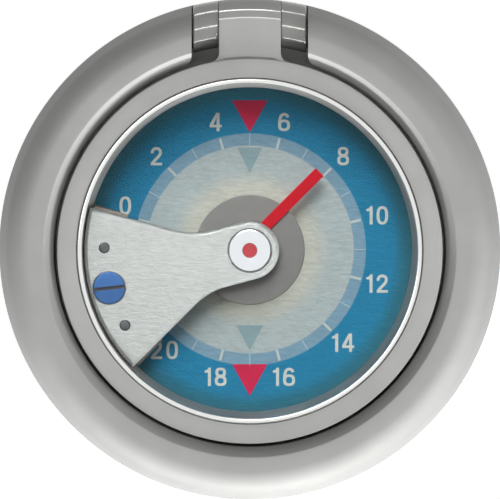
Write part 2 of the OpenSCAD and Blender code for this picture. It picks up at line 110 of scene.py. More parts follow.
# A closed profile of (radius, height, rounding) corners, each rounding turned into an arc
def roundCorners(corners, steps=5):
    points = []
    count = len(corners)
    for i, (r, z, rounding) in enumerate(corners):
        here = Vector((r, z))
        if rounding <= 0:
            points.append((r, z))
            continue
        before = (Vector(corners[i - 1][:2]) - here).normalized()
        after = (Vector(corners[(i + 1) % count][:2]) - here).normalized()
        half = before.angle(after) / 2
        centre = here + (before + after).normalized() * (rounding / math.sin(half))
        start = here + before * (rounding / math.tan(half)) - centre
        end = here + after * (rounding / math.tan(half)) - centre
        turn = start.angle_signed(end)
        for k in range(steps + 1):
            spot = start.copy()
            spot.rotate(Matrix.Rotation(-turn * k / steps, 2))
            points.append(tuple(centre + spot))
    return points


# Points along an arc, its angles in degrees
def arcPoints(centreX, centreY, radius, fromAngle, toAngle, steps):
    points = []
    for k in range(steps + 1):
        a = math.radians(fromAngle + (toAngle - fromAngle) * k / steps)
        points.append((centreX + radius * math.cos(a), centreY + radius * math.sin(a)))
    return points


def boxOutline(halfX, halfY):
    return [(-halfX, -halfY), (halfX, -halfY), (halfX, halfY), (-halfX, halfY)]


# Turns the points of a plan about the axis
def turnPoints(points, degrees):
    c, s = math.cos(math.radians(degrees)), math.sin(math.radians(degrees))
    return [(x * c - y * s, x * s + y * c) for x, y in points]


# Faces between two rings of count points, whose first points are a and b
def ringFaces(a, b, count):
    return [(a + k, a + (k + 1) % count, b + (k + 1) % count, b + k) for k in range(count)]


# Turns a closed profile of (radius, height) points round an upright axis
def lathe(name, profile, material=None, segments=256, sharpAngle=32, centre=(0, 0)):
    verts = []
    rings = []
    for r, z in profile:
        start = len(verts)
        if r < 1e-6:
            verts.append((centre[0], centre[1], z))
            rings.append([start])
            continue
        for k in range(segments):
            a = fullTurn * k / segments
            verts.append((centre[0] + r * math.cos(a), centre[1] + r * math.sin(a), z))
        rings.append(list(range(start, start + segments)))
    faces = []
    for i, lower in enumerate(rings):
        upper = rings[(i + 1) % len(rings)]
        if len(lower) == 1 and len(upper) == 1:
            continue
        for k in range(segments):
            n = (k + 1) % segments
            if len(lower) == 1:
                faces.append((lower[0], upper[n], upper[k]))
            elif len(upper) == 1:
                faces.append((lower[k], lower[n], upper[0]))
            else:
                faces.append((lower[k], lower[n], upper[n], upper[k]))
    return newPiece(name, verts, faces, material, sharpAngle)


# Stacks one plan outline above another; each level is (height, outline) with equal counts
def stackOutlines(name, levels, material=None, sharpAngle=32):
    verts = []
    count = len(levels[0][1])
    for z, outline in levels:
        verts += [(x, y, z) for x, y in outline]
    faces = [tuple(range(count))]
    for level in range(len(levels) - 1):
        faces += ringFaces(level * count, (level + 1) * count, count)
    top = (len(levels) - 1) * count
    faces.append(tuple(range(top, top + count)))
    return newPiece(name, verts, faces, material, sharpAngle)


def prism(name, outline, lowZ, topZ, material=None):
    return stackOutlines(name, [(lowZ, outline), (topZ, outline)], material)


def rodAlongX(name, x0, x1, y, z, radius, segments=48):
    verts = []
    for x in (x0, x1):
        for k in range(segments):
            a = fullTurn * k / segments
            verts.append((x, y + radius * math.cos(a), z + radius * math.sin(a)))
    ends = [tuple(range(segments)), tuple(range(segments, 2 * segments))]
    return newPiece(name, verts, ends + ringFaces(0, segments, segments))


# Puts a piece on its body, in place of its CAD nodes, and hands it back
def settle(obj, body, slotName, *nodeNames):
    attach(obj, body)
    if nodeNames:
        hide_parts(*nodeNames)
    return obj


def addNode(tree, kind, settings=None, links=None):
    node = tree.nodes.new(kind)
    for key, value in (settings or {}).items():
        if isinstance(key, int) or key[0].isupper():
            node.inputs[key].default_value = value
        else:
            setattr(node, key, value)
    for key, source in (links or {}).items():
        tree.links.new(source, node.inputs[key])
    return node


# A sum on up to three values, each a number or another node's output
def addMath(tree, operation, *values):
    node = addNode(tree, "ShaderNodeMath", {"operation": operation})
    for i, value in enumerate(values):
        if isinstance(value, bpy.types.NodeSocket):
            tree.links.new(value, node.inputs[i])
        else:
            node.inputs[i].default_value = value
    return node.outputs[0]


# A material with one Principled shader; settings go straight onto its sockets
def startMaterial(name, settings):
    material = bpy.data.materials.new(name)
    material.use_nodes = True
    tree = material.node_tree
    tree.nodes.clear()
    shader = addNode(tree, "ShaderNodeBsdfPrincipled", settings)
    addNode(tree, "ShaderNodeOutputMaterial", None, {"Surface": shader.outputs[0]})
    place = addNode(tree, "ShaderNodeTexCoord").outputs["Object"]
    return material, tree, shader, place


def surfaceOf(tree):
    return next(n for n in tree.nodes if n.type == "OUTPUT_MATERIAL").inputs["Surface"]


# A noise whose grain is given in millimetres along x, y and z
def addNoise(tree, place, grain, detail, roughness, distortion=0.0):
    mapped = addNode(
        tree, "ShaderNodeMapping", {"Scale": [1 / (g * mm) for g in grain]}, {"Vector": place}
    )
    noise = addNode(
        tree, "ShaderNodeTexNoise",
        {"Scale": 1.0, "Detail": detail, "Roughness": roughness, "Distortion": distortion},
        {"Vector": mapped.outputs[0]},
    )
    return noise.outputs["Fac"]


# Bumps the shader by a pattern that stands so many millimetres high
def addBump(tree, shader, pattern, depth, strength=1.0):
    bump = addNode(
        tree, "ShaderNodeBump", {"Strength": strength, "Distance": depth * mm},
        {"Height": pattern},
    )
    tree.links.new(bump.outputs[0], shader.inputs["Normal"])


# Spreads the middle of a pattern's range between two values
def addSpread(tree, pattern, low, high):
    return addNode(
        tree, "ShaderNodeMapRange",
        {"From Min": 0.3, "From Max": 0.7, "To Min": low, "To Max": high}, {"Value": pattern},
    ).outputs[0]


def addRoughness(tree, shader, pattern, low, high):
    tree.links.new(addSpread(tree, pattern, low, high), shader.inputs["Roughness"])


# Lets the shader's colour run between two hex colours by a pattern
def addColours(tree, shader, pattern, low, high):
    ramp = addNode(tree, "ShaderNodeValToRGB", None, {"Fac": pattern})
    for stop, at, colour in zip(ramp.color_ramp.elements, (0.3, 0.7), (low, high)):
        stop.position = at
        stop.color = linearColour(colour)
    tree.links.new(ramp.outputs[0], shader.inputs["Base Color"])


# A fine grain that bumps the surface; its pattern is handed back for the roughness
def addGrain(tree, shader, place, grain, depth):
    noise = addNoise(tree, place, grain, 2.0, 0.55)
    addBump(tree, shader, noise, depth)
    return noise


# A slow drift of the colour over the surface
def addDrift(tree, shader, place, size, low, high):
    addColours(tree, shader, addNoise(tree, place, size, 3.0, 0.5), low, high)


# Radius from the axis in metres
def addRadius(tree, place):
    split = addNode(tree, "ShaderNodeSeparateXYZ", None, {0: place})
    flat = addNode(
        tree, "ShaderNodeCombineXYZ", None, {"X": split.outputs["X"], "Y": split.outputs["Y"]}
    )
    return addNode(
        tree, "ShaderNodeVectorMath", {"operation": "LENGTH"}, {0: flat.outputs[0]}
    ).outputs["Value"]


# A finish whose colour drifts slowly and whose fine grain bumps and roughens it; drift and
# grain are the sizes of the two patterns in millimetres
def grainedFinish(name, low, high, settings, drift, grain, depth, spread):
    material, tree, shader, place = startMaterial(name, settings)
    addDrift(tree, shader, place, drift, low, high)
    fine = addGrain(tree, shader, place, grain, depth)
    roughness = settings["Roughness"]
    addRoughness(tree, shader, fine, roughness - spread, roughness + spread)
    return material


# Bead-blasted stainless steel: fine even grain, no mirror, soft pale grey
def blastedSteel(name, low, high, roughness, metallic=0.2):
    settings = {"Metallic": metallic, "Roughness": roughness, "Specular IOR Level": 0.35}
    return grainedFinish(name, low, high, settings, [5] * 3, [0.12] * 3, 0.004, 0.05)


# Polished steel: smooth, with faint lapping marks
def polishedSteel(name, colour, roughness, metallic=1.0):
    material, tree, shader, place = startMaterial(
        name, {"Metallic": metallic, "Roughness": roughness, "Base Color": linearColour(colour)}
    )
    marks = addGrain(tree, shader, place, (1.6, 0.2, 0.2), 0.0008)
    addRoughness(tree, shader, marks, roughness * 0.7, roughness * 1.3)
    return material


# Turned steel: the cutter's rings round the axis, 0.12 mm apart
def turnedSteel(name, low, high, roughness, metallic=0.4):
    material, tree, shader, place = startMaterial(
        name, {"Metallic": metallic, "Roughness": roughness, "Specular IOR Level": 0.4}
    )
    addDrift(tree, shader, place, (7, 7, 7), low, high)
    rings = addNode(
        tree, "ShaderNodeTexNoise", {"noise_dimensions": "1D", "Scale": 1.0, "Detail": 2.0},
        {"W": addMath(tree, "MULTIPLY", addRadius(tree, place), 1 / (0.12 * mm))},
    ).outputs["Fac"]
    addBump(tree, shader, rings, 0.006, 0.6)
    addRoughness(tree, shader, rings, roughness - 0.08, roughness + 0.08)
    return material


# Short waves of a horizontal brushing on the dial and the bridge, 1.05 mm long, 0.38 mm high
def addBrushWaves(tree, shader, place, depth):
    waves = addNoise(tree, place, (1 / 0.95, 1 / 2.6, 1 / 0.95), 3.0, 0.6, 0.25)
    addBump(tree, shader, waves, depth)
    return waves


# Rhodium-plated brass, brushed across: bright, with a silky wave
def brushedRhodium():
    material, tree, shader, place = startMaterial(
        "brushedRhodium", {"Metallic": 0.25, "Roughness": 0.42, "Specular IOR Level": 0.4}
    )
    waves = addBrushWaves(tree, shader, place, 0.13)
    addColours(tree, shader, waves, "#adb0ae", "#bbbebc")
    addRoughness(tree, shader, waves, 0.36, 0.5)
    return material


# Blue enamel over brushed brass, printed with pale zones round the centre; each zone is a
# radius in millimetres and its colour. Past 17.2 mm the blue darkens towards the rim: partly
# the enamel's own darker edge, partly painted shade under the case wall
def dialEnamel():
    zones = [
        (0.0, "#c9cbc0"), (7.6, "#c9cbc0"), (9.6, "#b4c1c2"), (12.42, "#b4c1c2"),
        (12.46, "#7fa3b8"), (13.86, "#7fa3b8"), (13.90, "#1d80a9"), (17.2, "#1d80a9"),
        # these last two stops are partly painted shade: a darker blue where the case wall shades
        # the rim
        (18.4, "#256e84"), (20.4, "#2f5f6a"),
    ]
    material, tree, shader, place = startMaterial(
        "dialEnamel", {"Metallic": 0.0, "Roughness": 0.5, "Specular IOR Level": 0.2}
    )
    waves = addBrushWaves(tree, shader, place, 0.07)
    edge = zones[-1][0]
    share = addMath(tree, "DIVIDE", addRadius(tree, place), edge * mm)
    ramp = addNode(tree, "ShaderNodeValToRGB", None, {"Fac": share})
    stops = ramp.color_ramp.elements
    for stop, (at, colour) in zip(stops, (zones[0], zones[-1])):
        stop.position = at / edge
        stop.color = linearColour(colour)
    for at, colour in zones[1:-1]:
        stop = stops.new(at / edge)
        stop.color = linearColour(colour)
    mixed = addNode(
        tree, "ShaderNodeVectorMath", {"operation": "SCALE"},
        {0: ramp.outputs[0], "Scale": addSpread(tree, waves, 0.9, 1.08)},
    )
    tree.links.new(mixed.outputs[0], shader.inputs["Base Color"])
    addRoughness(tree, shader, waves, 0.44, 0.58)
    return material


# Pad-printed ink: matt, following the dial's waves a little
def padInk(name, low, high):
    settings = {"Roughness": 0.55, "Specular IOR Level": 0.25}
    return grainedFinish(
        name, low, high, settings, (2.2, 0.45, 2.2), (2.2, 0.42, 2.2), 0.02, 0.06
    )


# Plain fine-grained finishes: anodised aluminium, lacquer, rubber, moulded plastic
def fineFinish(name, low, high, settings, grain, depth):
    spread = 0.15 * settings["Roughness"]
    return grainedFinish(name, low, high, settings, [8 * grain] * 3, [grain] * 3, depth, spread)


# Mineral glass with an anti-reflection coating on both faces, which leaves it nearly without
# a reflection (hence the low IOR); lamps and bounced light pass straight through
def coatedGlass():
    material, tree, shader, place = startMaterial(
        "coatedGlass",
        {"Base Color": (0.985, 0.995, 0.99, 1.0), "Roughness": 0.0, "IOR": 1.13,
         "Transmission Weight": 1.0},
    )
    path = addNode(tree, "ShaderNodeLightPath")
    clear = addNode(tree, "ShaderNodeBsdfTransparent").outputs[0]
    surface = shader.outputs[0]
    for ray in ("Is Diffuse Ray", "Is Shadow Ray"):
        surface = addNode(
            tree, "ShaderNodeMixShader", None, {0: path.outputs[ray], 1: surface, 2: clear}
        ).outputs[0]
    tree.links.new(surface, surfaceOf(tree))
    return material


# The blasted outside, the ring a little duller than the case
ringSteel = blastedSteel("blastedRingSteel", "#acacaa", "#b2b2b0", 0.6, 0.1)
caseSteel = blastedSteel("blastedCaseSteel", "#acacaa", "#b2b2b0", 0.48)
# Turned faces of the bottom plate, the back cover and the sloping flange
plateSteel = turnedSteel("turnedPlateSteel", "#a2a2a0", "#adadab", 0.42)
coverSteel = turnedSteel("turnedCoverSteel", "#a6a6a4", "#b1b1af", 0.38)
flangeSteel = turnedSteel("turnedFlangeSteel", "#9d9c99", "#a6a5a2", 0.45, 0.25)
# Polished barrels and bead, and the mirror-bright cut facets of the tab
barrelSteel = polishedSteel("polishedBarrelSteel", "#92928f", 0.12, 0.35)
bezelSteel = polishedSteel("polishedBezelSteel", "#e9e9e6", 0.16)
cutSteel = polishedSteel("diamondCutSteel", "#dededb", 0.15)
# Polished and ground small parts: setting, hinge pin, screws, staff and the brass collet
settingSteel = polishedSteel("polishedSettingSteel", "#eceef2", 0.08)
pinSteel = polishedSteel("groundPinSteel", "#b9bdc0", 0.2)
screwSteel = polishedSteel("polishedScrewSteel", "#b5b5b3", 0.22)
staffSteel = polishedSteel("polishedStaffSteel", "#a9aeb2", 0.18)
collarBrass = polishedSteel("polishedCollarBrass", "#b3aa94", 0.25)
# Bridge, dial and the inks printed on the dial
bridgeSilver = brushedRhodium()
dialBlue = dialEnamel()
inkCream = padInk("creamInk", "#c9cfc9", "#dadfd8")
inkRed = padInk("redInk", "#c41c4a", "#d8244f")
inkBlue = padInk("paleBlueInk", "#86a2a8", "#93adb2")
inkTickWide = padInk("wideTickInk", "#bcc9c8", "#ccd6d3")
inkTickThin = padInk("thinTickInk", "#a3bcc6", "#b2c8d0")
glassMaterial = coatedGlass()
# Anodised aluminium: matt warm grey
discGrey = fineFinish(
    "anodisedDisc", "#858482", "#8c8b89",
    {"Metallic": 0.0, "Roughness": 0.55, "Specular IOR Level": 0.25}, 0.1, 0.002,
)
# Gloss lacquer, deep red
lacquerRed = fineFinish(
    "redLacquer", "#c8001c", "#d4021f",
    {"Metallic": 0.0, "Roughness": 0.4, "Specular IOR Level": 0.3}, 0.15, 0.001,
)
# Carbon steel blued by heat: satin blue with a little violet
bluedSteel = fineFinish(
    "bluedSteel", "#38649f", "#426fab",
    {"Metallic": 0.3, "Roughness": 0.4, "Specular IOR Level": 0.4}, 0.12, 0.002,
)
# Hardened steel left dark from the furnace
darkSteel = fineFinish(
    "hardenedPinSteel", "#57585b", "#636467",
    {"Metallic": 0.3, "Roughness": 0.5, "Specular IOR Level": 0.3}, 0.1, 0.002,
)
# Brass, fine machined and unlacquered
plateBrass = fineFinish(
    "machinedBrass", "#a98f52", "#b99f60",
    {"Metallic": 0.7, "Roughness": 0.4}, 0.2, 0.002,
)
# Bead-blasted nickel silver of the bridge's foot, warmer and darker than the bridge
footSilver = fineFinish(
    "nickelSilverFoot", "#8b8078", "#988d85",
    {"Metallic": 0.2, "Roughness": 0.5, "Specular IOR Level": 0.3}, 0.12, 0.003,
)
# Nickel-plated neodymium
magnetNickel = fineFinish(
    "nickelPlatedMagnet", "#a5a6a8", "#b2b3b5",
    {"Metallic": 0.9, "Roughness": 0.3}, 0.15, 0.001,
)
# Nitrile rubber, moulded
rubberBlack = fineFinish(
    "mouldedRubber", "#1f1f21", "#29292b",
    {"Roughness": 0.7, "Specular IOR Level": 0.3}, 0.2, 0.004,
)
# Acetal washers, dark and slippery
washerPlastic = fineFinish(
    "acetalPlastic", "#2c2c2e", "#38383a",
    {"Roughness": 0.45, "Specular IOR Level": 0.4}, 0.15, 0.002,
)
# Synthetic ruby: glossy and saturated, a little light goes in
rubyRed = fineFinish(
    "syntheticRuby", "#c40a20", "#e01230",
    {"Roughness": 0.1, "IOR": 1.76, "Coat Weight": 0.3, "Coat Roughness": 0.05}, 0.4, 0.0005,
)
print("materials made:", len(bpy.data.materials))

ring = {
    "boreR": 23.4, "seatZ": 1.4, "leadInZ": 9.3, "crownInR": 24.6, "crownOutR": 26.3,
    "topZ": 11.0, "crownRound": 3.0, "bellyR": 4.6, "outerR": 30.0,
    "bellyZ": 4.1, "footInR": 26.336, "notchHalf": 6.95, "notchRound": 1.2,
    "notchFloorZ": 3.0, "notchLipY": 28.9, "notchInY": 21.2, "lipZ": 3.75,
    "hingeY": 26.0, "hingeZ": 7.15, "pinR": 0.8, "pinSeat": 2.5,
}


# Section of the ring: the bore's side down to the foot, the belly, and a shoulder whose
# rounding meets the straight flank that also touches the belly
def ringProfile(cfg):
    bellyCentre = cfg["outerR"] - cfg["bellyR"]
    footAngle = -math.degrees(math.asin(cfg["bellyZ"] / cfg["bellyR"]))
    across = cfg["crownOutR"] - bellyCentre
    up = cfg["topZ"] - cfg["crownRound"] - cfg["bellyZ"]
    lean = math.degrees(
        math.atan2(up, across)
        - math.acos((cfg["bellyR"] - cfg["crownRound"]) / math.hypot(across, up))
    )
    boreSide = roundCorners([
        (cfg["crownOutR"], cfg["topZ"], 0), (cfg["crownInR"], cfg["topZ"], 0.25),
        (cfg["boreR"], cfg["leadInZ"], 0.3), (cfg["boreR"], cfg["seatZ"], 0.12),
        (cfg["footInR"], cfg["seatZ"], 0.05), (cfg["footInR"], 0, 0.15),
        (cfg["footInR"] + 1.1, 0, 0),
    ])[1:-1]
    belly = arcPoints(bellyCentre, cfg["bellyZ"], cfg["bellyR"], footAngle, lean, 28)
    shoulder = arcPoints(
        cfg["crownOutR"], cfg["topZ"] - cfg["crownRound"], cfg["crownRound"], lean, 90, 20
    )
    return boreSide + belly + shoulder


# Plan of the notch from inside the bore out to yEnd, its inner corners rounded into the bore
def notchOutline(cfg, yEnd):
    cornerX = cfg["notchHalf"] + cfg["notchRound"]
    cornerY = math.sqrt((cfg["boreR"] + cfg["notchRound"]) ** 2 - cornerX ** 2)
    lowAngle = 180 + math.degrees(math.atan2(cornerY, cornerX))
    right = [(cfg["notchHalf"], yEnd)]
    right += arcPoints(cornerX, cornerY, cfg["notchRound"], 180, lowAngle - 3, 10)
    right.append((cfg["notchHalf"] + 0.3, cfg["notchInY"]))
    left = [(-x, y) for x, y in reversed(right)]
    return right + left


def makeRing(cfg):
    obj = lathe("ringBody", ringProfile(cfg), ringSteel)
    deep = notchOutline(cfg, cfg["notchLipY"])
    wide = notchOutline(cfg, cfg["outerR"] + 1)
    tools = [
        prism("deepNotch", deep, cfg["notchFloorZ"], cfg["topZ"] + 1),
        prism("wideNotch", wide, cfg["lipZ"], cfg["topZ"] + 1),
    ]
    for side in (-1, 1):
        ends = [side * (cfg["notchHalf"] - 0.5), side * (cfg["notchHalf"] + cfg["pinSeat"])]
        tools.append(
            rodAlongX("pinSeat", min(ends), max(ends), cfg["hingeY"], cfg["hingeZ"], cfg["pinR"])
        )
    carve(obj, tools)
    return settle(obj, "locator", "ring_metal", "locator_ring")


ringBody = makeRing(ring)
print("ring:", len(ringBody.data.polygons), "faces")


# Geometry Nodes: puts copies of a piece round the axis, each turned to its own angle
def makeCircleArray():
    tree = bpy.data.node_groups.new("circleArray", "GeometryNodeTree")
    face = tree.interface
    face.new_socket("Geometry", in_out="INPUT", socket_type="NodeSocketGeometry")
    sockets = {}
    for name, kind in (
        ("Piece", "NodeSocketObject"), ("Count", "NodeSocketInt"), ("Radius", "NodeSocketFloat"),
        ("Start", "NodeSocketFloat"), ("Step", "NodeSocketFloat"),
        ("Finish", "NodeSocketMaterial"),
    ):
        sockets[name] = face.new_socket(name, in_out="INPUT", socket_type=kind).identifier
    face.new_socket("Geometry", in_out="OUTPUT", socket_type="NodeSocketGeometry")
    given = addNode(tree, "NodeGroupInput").outputs
    line = addNode(
        tree, "GeometryNodeMeshLine", {"Offset": (0.0, 0.0, 0.0)}, {"Count": given["Count"]}
    )
    index = addNode(tree, "GeometryNodeInputIndex").outputs[0]
    angle = addMath(tree, "MULTIPLY_ADD", index, given["Step"], given["Start"])
    unit = addNode(
        tree, "ShaderNodeCombineXYZ", None,
        {"X": addMath(tree, "COSINE", angle), "Y": addMath(tree, "SINE", angle)},
    )
    spot = addNode(
        tree, "ShaderNodeVectorMath", {"operation": "SCALE"},
        {0: unit.outputs[0], "Scale": given["Radius"]},
    )
    moved = addNode(
        tree, "GeometryNodeSetPosition", None,
        {"Geometry": line.outputs[0], "Position": spot.outputs[0]},
    )
    turned = addNode(tree, "ShaderNodeCombineXYZ", None, {"Z": angle})
    source = addNode(tree, "GeometryNodeObjectInfo", None, {"Object": given["Piece"]})
    copies = addNode(
        tree, "GeometryNodeInstanceOnPoints", None,
        {"Points": moved.outputs[0], "Instance": source.outputs["Geometry"],
         "Rotation": turned.outputs[0]},
    )
    real = addNode(
        tree, "GeometryNodeRealizeInstances", None, {"Geometry": copies.outputs[0]}
    )
    dressed = addNode(
        tree, "GeometryNodeSetMaterial", None,
        {"Geometry": real.outputs[0], "Material": given["Finish"]},
    )
    addNode(tree, "NodeGroupOutput", None, {"Geometry": dressed.outputs[0]})
    return tree, sockets


circleArray, circleSockets = makeCircleArray()


# Copies a piece count times round the axis and returns one plain mesh; angles in degrees
def roundTheAxis(name, piece, count, radius, start, step, material):
    mesh = bpy.data.meshes.new(name)
    obj = bpy.data.objects.new(name, mesh)
    bpy.context.scene.collection.objects.link(obj)
    modifier = obj.modifiers.new("circleArray", "NODES")
    modifier.node_group = circleArray
    modifier[circleSockets["Piece"]] = piece
    modifier[circleSockets["Count"]] = count
    modifier[circleSockets["Radius"]] = radius * mm
    modifier[circleSockets["Start"]] = math.radians(start)
    modifier[circleSockets["Step"]] = math.radians(step)
    modifier[circleSockets["Finish"]] = material
    bakeShape(obj)
    bpy.data.objects.remove(piece)
    return obj


# A head and shank round the local origin, slotted between two heights
def slottedScrew(name, profile, slotWidth, slotZ, slotTop, reach):
    screw = lathe(name, profile, segments=64)
    carve(screw, [prism("slotCut", boxOutline(reach, slotWidth / 2), slotZ, slotTop)])
    return screw


plate = {
    "lowZ": 0.2, "topZ": 1.4, "outerR": 26.286, "holeR": 11.0, "screwR": 24.868,
    "screwCount": 4, "screwFrom": 45, "headR": 1.3, "headDepth": 0.6, "shankR": 0.7,
    "slotWidth": 0.4, "screwTopZ": 3.6,
}


def makeFinderPlate(cfg):
    low, top = cfg["lowZ"], cfg["topZ"]
    places = (cfg["screwCount"], cfg["screwR"], cfg["screwFrom"], 360 / cfg["screwCount"])
    obj = lathe(
        "finderPlateBody",
        roundCorners([
            (cfg["holeR"], top, 0.35), (cfg["holeR"], low, 0.35), (cfg["outerR"], low, 0.12),
            (cfg["outerR"], top, 0.06),
        ]),
        plateSteel,
    )
    cone = lathe(
        "screwSeat",
        [(0, low - 0.3), (cfg["headR"] + 0.36, low - 0.3), (cfg["shankR"] + 0.06, low + 0.6),
         (cfg["shankR"] + 0.06, top + 0.3), (0, top + 0.3)],
        segments=48,
    )
    carve(obj, [roundTheAxis("screwSeats", cone, *places, plateSteel)])
    settle(obj, "locator", "plate_metal", "finder_plate")
    screw = slottedScrew(
        "finderScrew",
        [(0, low), (cfg["headR"] - 0.08, low), (cfg["headR"], low + 0.06),
         (cfg["shankR"], low + cfg["headDepth"]), (cfg["shankR"], cfg["screwTopZ"] - 0.2),
         (cfg["shankR"] - 0.2, cfg["screwTopZ"]), (0, cfg["screwTopZ"])],
        cfg["slotWidth"], low - 0.5, low + 0.3, 3,
    )
    screws = roundTheAxis("finderScrewSet", screw, *places, screwSteel)
    settle(screws, "locator", "screw_steel", "finder_screws")
    return obj


finderPlate = makeFinderPlate(plate)
print("finder plate and screws made")

case = {
    "cavityR": 20.5, "lowZ": 1.6, "bodyR": 22.0, "baseChamfer": 0.8, "flangeZ": 9.35,
    "flangeR": 23.0, "topZ": 10.5, "windowR": 20.7, "ledgeR": 20.1, "ledgeTopZ": 8.4,
    "ledgeLowZ": 7.9, "edgeRound": 0.14,
}
tab = {
    "half": 3.7, "rootR": 21.3, "fillet": 0.9, "flangeR": 23.0, "topZ": 10.15, "webZ": 6.25,
    "barrelR": 27.25, "barrelRadius": 2.75, "hingeZ": ring["hingeZ"], "stepR": 27.8,
    "stepDrop": 0.15, "edgeR": 28.7, "edgeFacet": 0.16, "outerR": 30.0, "arcRadius": 3.454,
    "edgeRound": 0.12, "grooveHalf": 3.05, "grooveIn": 23.0, "grooveOut": 23.2,
    "grooveDepth": 0.35,
}


# Upper face of the tab along the radius: flat, a small step, then an arc down to the hinge
def tabTop(cfg, r):
    if r <= cfg["stepR"]:
        return cfg["topZ"]
    if r <= cfg["stepR"] + cfg["stepDrop"]:
        return cfg["topZ"] - (r - cfg["stepR"])
    if r <= cfg["edgeR"]:
        return cfg["topZ"] - cfg["stepDrop"] - 0.2 * (r - cfg["stepR"] - cfg["stepDrop"])
    across = r - (cfg["outerR"] - cfg["arcRadius"])
    return cfg["hingeZ"] + math.sqrt(max(cfg["arcRadius"] ** 2 - across ** 2, 0))


# Lower face: a web as far as the barrel's round, then along that round
def tabBottom(cfg, r):
    across = r - cfg["barrelR"]
    drop = math.sqrt(max(cfg["barrelRadius"] ** 2 - across ** 2, 0))
    if across < 0 and cfg["hingeZ"] - drop > cfg["webZ"]:
        return cfg["webZ"]
    return cfg["hingeZ"] - drop if abs(across) <= cfg["barrelRadius"] else cfg["webZ"]


def makeTab(cfg):
    radii = [cfg["rootR"], 22.2, 22.9]
    filletTop = cfg["flangeR"] + cfg["fillet"]
    radii += [cfg["flangeR"] + cfg["fillet"] * k / 8 for k in range(9)]
    radii += [24.4, 24.6, 24.9, 25.3, 25.8, 26.4, 27.0, 27.5]
    radii += [cfg["stepR"], 27.83, 27.92, cfg["stepR"] + cfg["stepDrop"], 28.0, 28.3, 28.6]
    radii.append(cfg["edgeR"])
    first = math.asin((28.85 - cfg["barrelR"]) / cfg["barrelRadius"])
    for k in range(13):
        a = first + (math.pi / 2 - first) * k / 12
        radii.append(cfg["barrelR"] + cfg["barrelRadius"] * math.sin(a))
    turns = [90, 60, 30, 0]
    stations = [(-1, t) for t in turns] + [(s, 0) for s in (-0.7, -0.35, 0, 0.35, 0.7)]
    stations += [(1, t) for t in reversed(turns)]
    verts = []
    for r in radii:
        half = cfg["half"]
        if r < filletTop:
            lift = min(filletTop - r, cfg["fillet"])
            half += cfg["fillet"] - math.sqrt(cfg["fillet"] ** 2 - lift ** 2)
        for side, turn in stations:
            a = math.radians(turn)
            bend = cfg["edgeRound"]
            x = side * (half - bend + bend * math.sin(a)) if abs(side) == 1 else side * half
            drop = bend * (1 - math.cos(a)) if abs(side) == 1 else 0
            y = math.sqrt(r * r - x * x)
            middle = (tabTop(cfg, r) + tabBottom(cfg, r)) / 2
            verts.append((x, y, max(tabTop(cfg, r) - drop, middle)))
            verts.append((x, y, min(tabBottom(cfg, r) + drop, middle)))
    wide = len(stations)
    faces = []
    for i in range(len(radii) - 1):
        for j in range(wide - 1):
            a = 2 * (i * wide + j)
            b = a + 2 * wide
            faces.append((a, a + 2, b + 2, b))
            faces.append((a + 1, b + 1, b + 3, a + 3))
        for j in (0, wide - 1):
            a = 2 * (i * wide + j)
            b = a + 2 * wide
            faces.append((a, b, b + 1, a + 1))
    for i in (0, len(radii) - 1):
        for j in range(wide - 1):
            a = 2 * (i * wide + j)
            faces.append((a, a + 1, a + 3, a + 2))
    return newPiece("tabBlock", verts, faces, caseSteel)


# A block swept along an arc round the axis, between two radii and two heights
def arcBlock(name, rIn, rOut, lowZ, topZ, halfWidth, steps=40):
    inner = []
    outer = []
    for k in range(steps + 1):
        x = -halfWidth + 2 * halfWidth * k / steps
        inner.append((x, math.sqrt(rIn ** 2 - x * x)))
        outer.append((x, math.sqrt(rOut ** 2 - x * x)))
    return prism(name, outer + inner[::-1], lowZ, topZ)


def makeCase(cfg, tabCfg):
    e = cfg["edgeRound"]
    obj = lathe(
        "caseBody",
        roundCorners([
            (cfg["cavityR"], cfg["lowZ"], 0.08),
            (cfg["bodyR"] - cfg["baseChamfer"], cfg["lowZ"], 0.15),
            (cfg["bodyR"], cfg["lowZ"] + cfg["baseChamfer"], 0.2),
            (cfg["bodyR"], cfg["flangeZ"], 0.1), (cfg["flangeR"], cfg["flangeZ"], e),
            (cfg["flangeR"], cfg["topZ"], e), (cfg["windowR"], cfg["topZ"], 0.05),
            (cfg["windowR"], cfg["ledgeTopZ"], 0), (cfg["ledgeR"], cfg["ledgeTopZ"], 0.05),
            (cfg["ledgeR"], cfg["ledgeLowZ"], 0), (cfg["cavityR"], cfg["ledgeLowZ"], 0),
        ], 4),
        caseSteel,
    )
    carve(obj, [makeTab(tabCfg)], "UNION")
    groove = arcBlock(
        "rootGroove", tabCfg["grooveIn"], tabCfg["grooveOut"],
        tabCfg["topZ"] - tabCfg["grooveDepth"], tabCfg["topZ"] + 0.1, tabCfg["grooveHalf"],
    )
    bore = rodAlongX(
        "pinBore", -tabCfg["half"] - 1, tabCfg["half"] + 1, ring["hingeY"], ring["hingeZ"],
        ring["pinR"],
    )
    carve(obj, [groove, bore])
    obj.data.materials.append(cutSteel)
    for face in obj.data.polygons:  # the tab's two narrow facets are diamond-cut
        centre = face.center / mm
        r = math.hypot(centre.x, centre.y)
        onStep = tabCfg["stepR"] < r < tabCfg["stepR"] + tabCfg["stepDrop"]
        onEdge = tabCfg["edgeR"] < r < tabCfg["edgeR"] + tabCfg["edgeFacet"]
        if centre.z > 9.5 and 0.3 < face.normal.z < 0.9 and (onStep or onEdge):
            face.material_index = 1
    return settle(obj, "capsule", "case_metal", "case_ring")


caseBody = makeCase(case, tab)
print("case:", len(caseBody.data.polygons), "faces")

barrel = {
    "inX": tab["half"], "outX": 6.75, "centreR": tab["barrelR"], "radius": tab["barrelRadius"],
    "z": ring["hingeZ"], "edgeRound": 0.18, "boreR": ring["pinR"], "steps": 16, "round": 72,
}


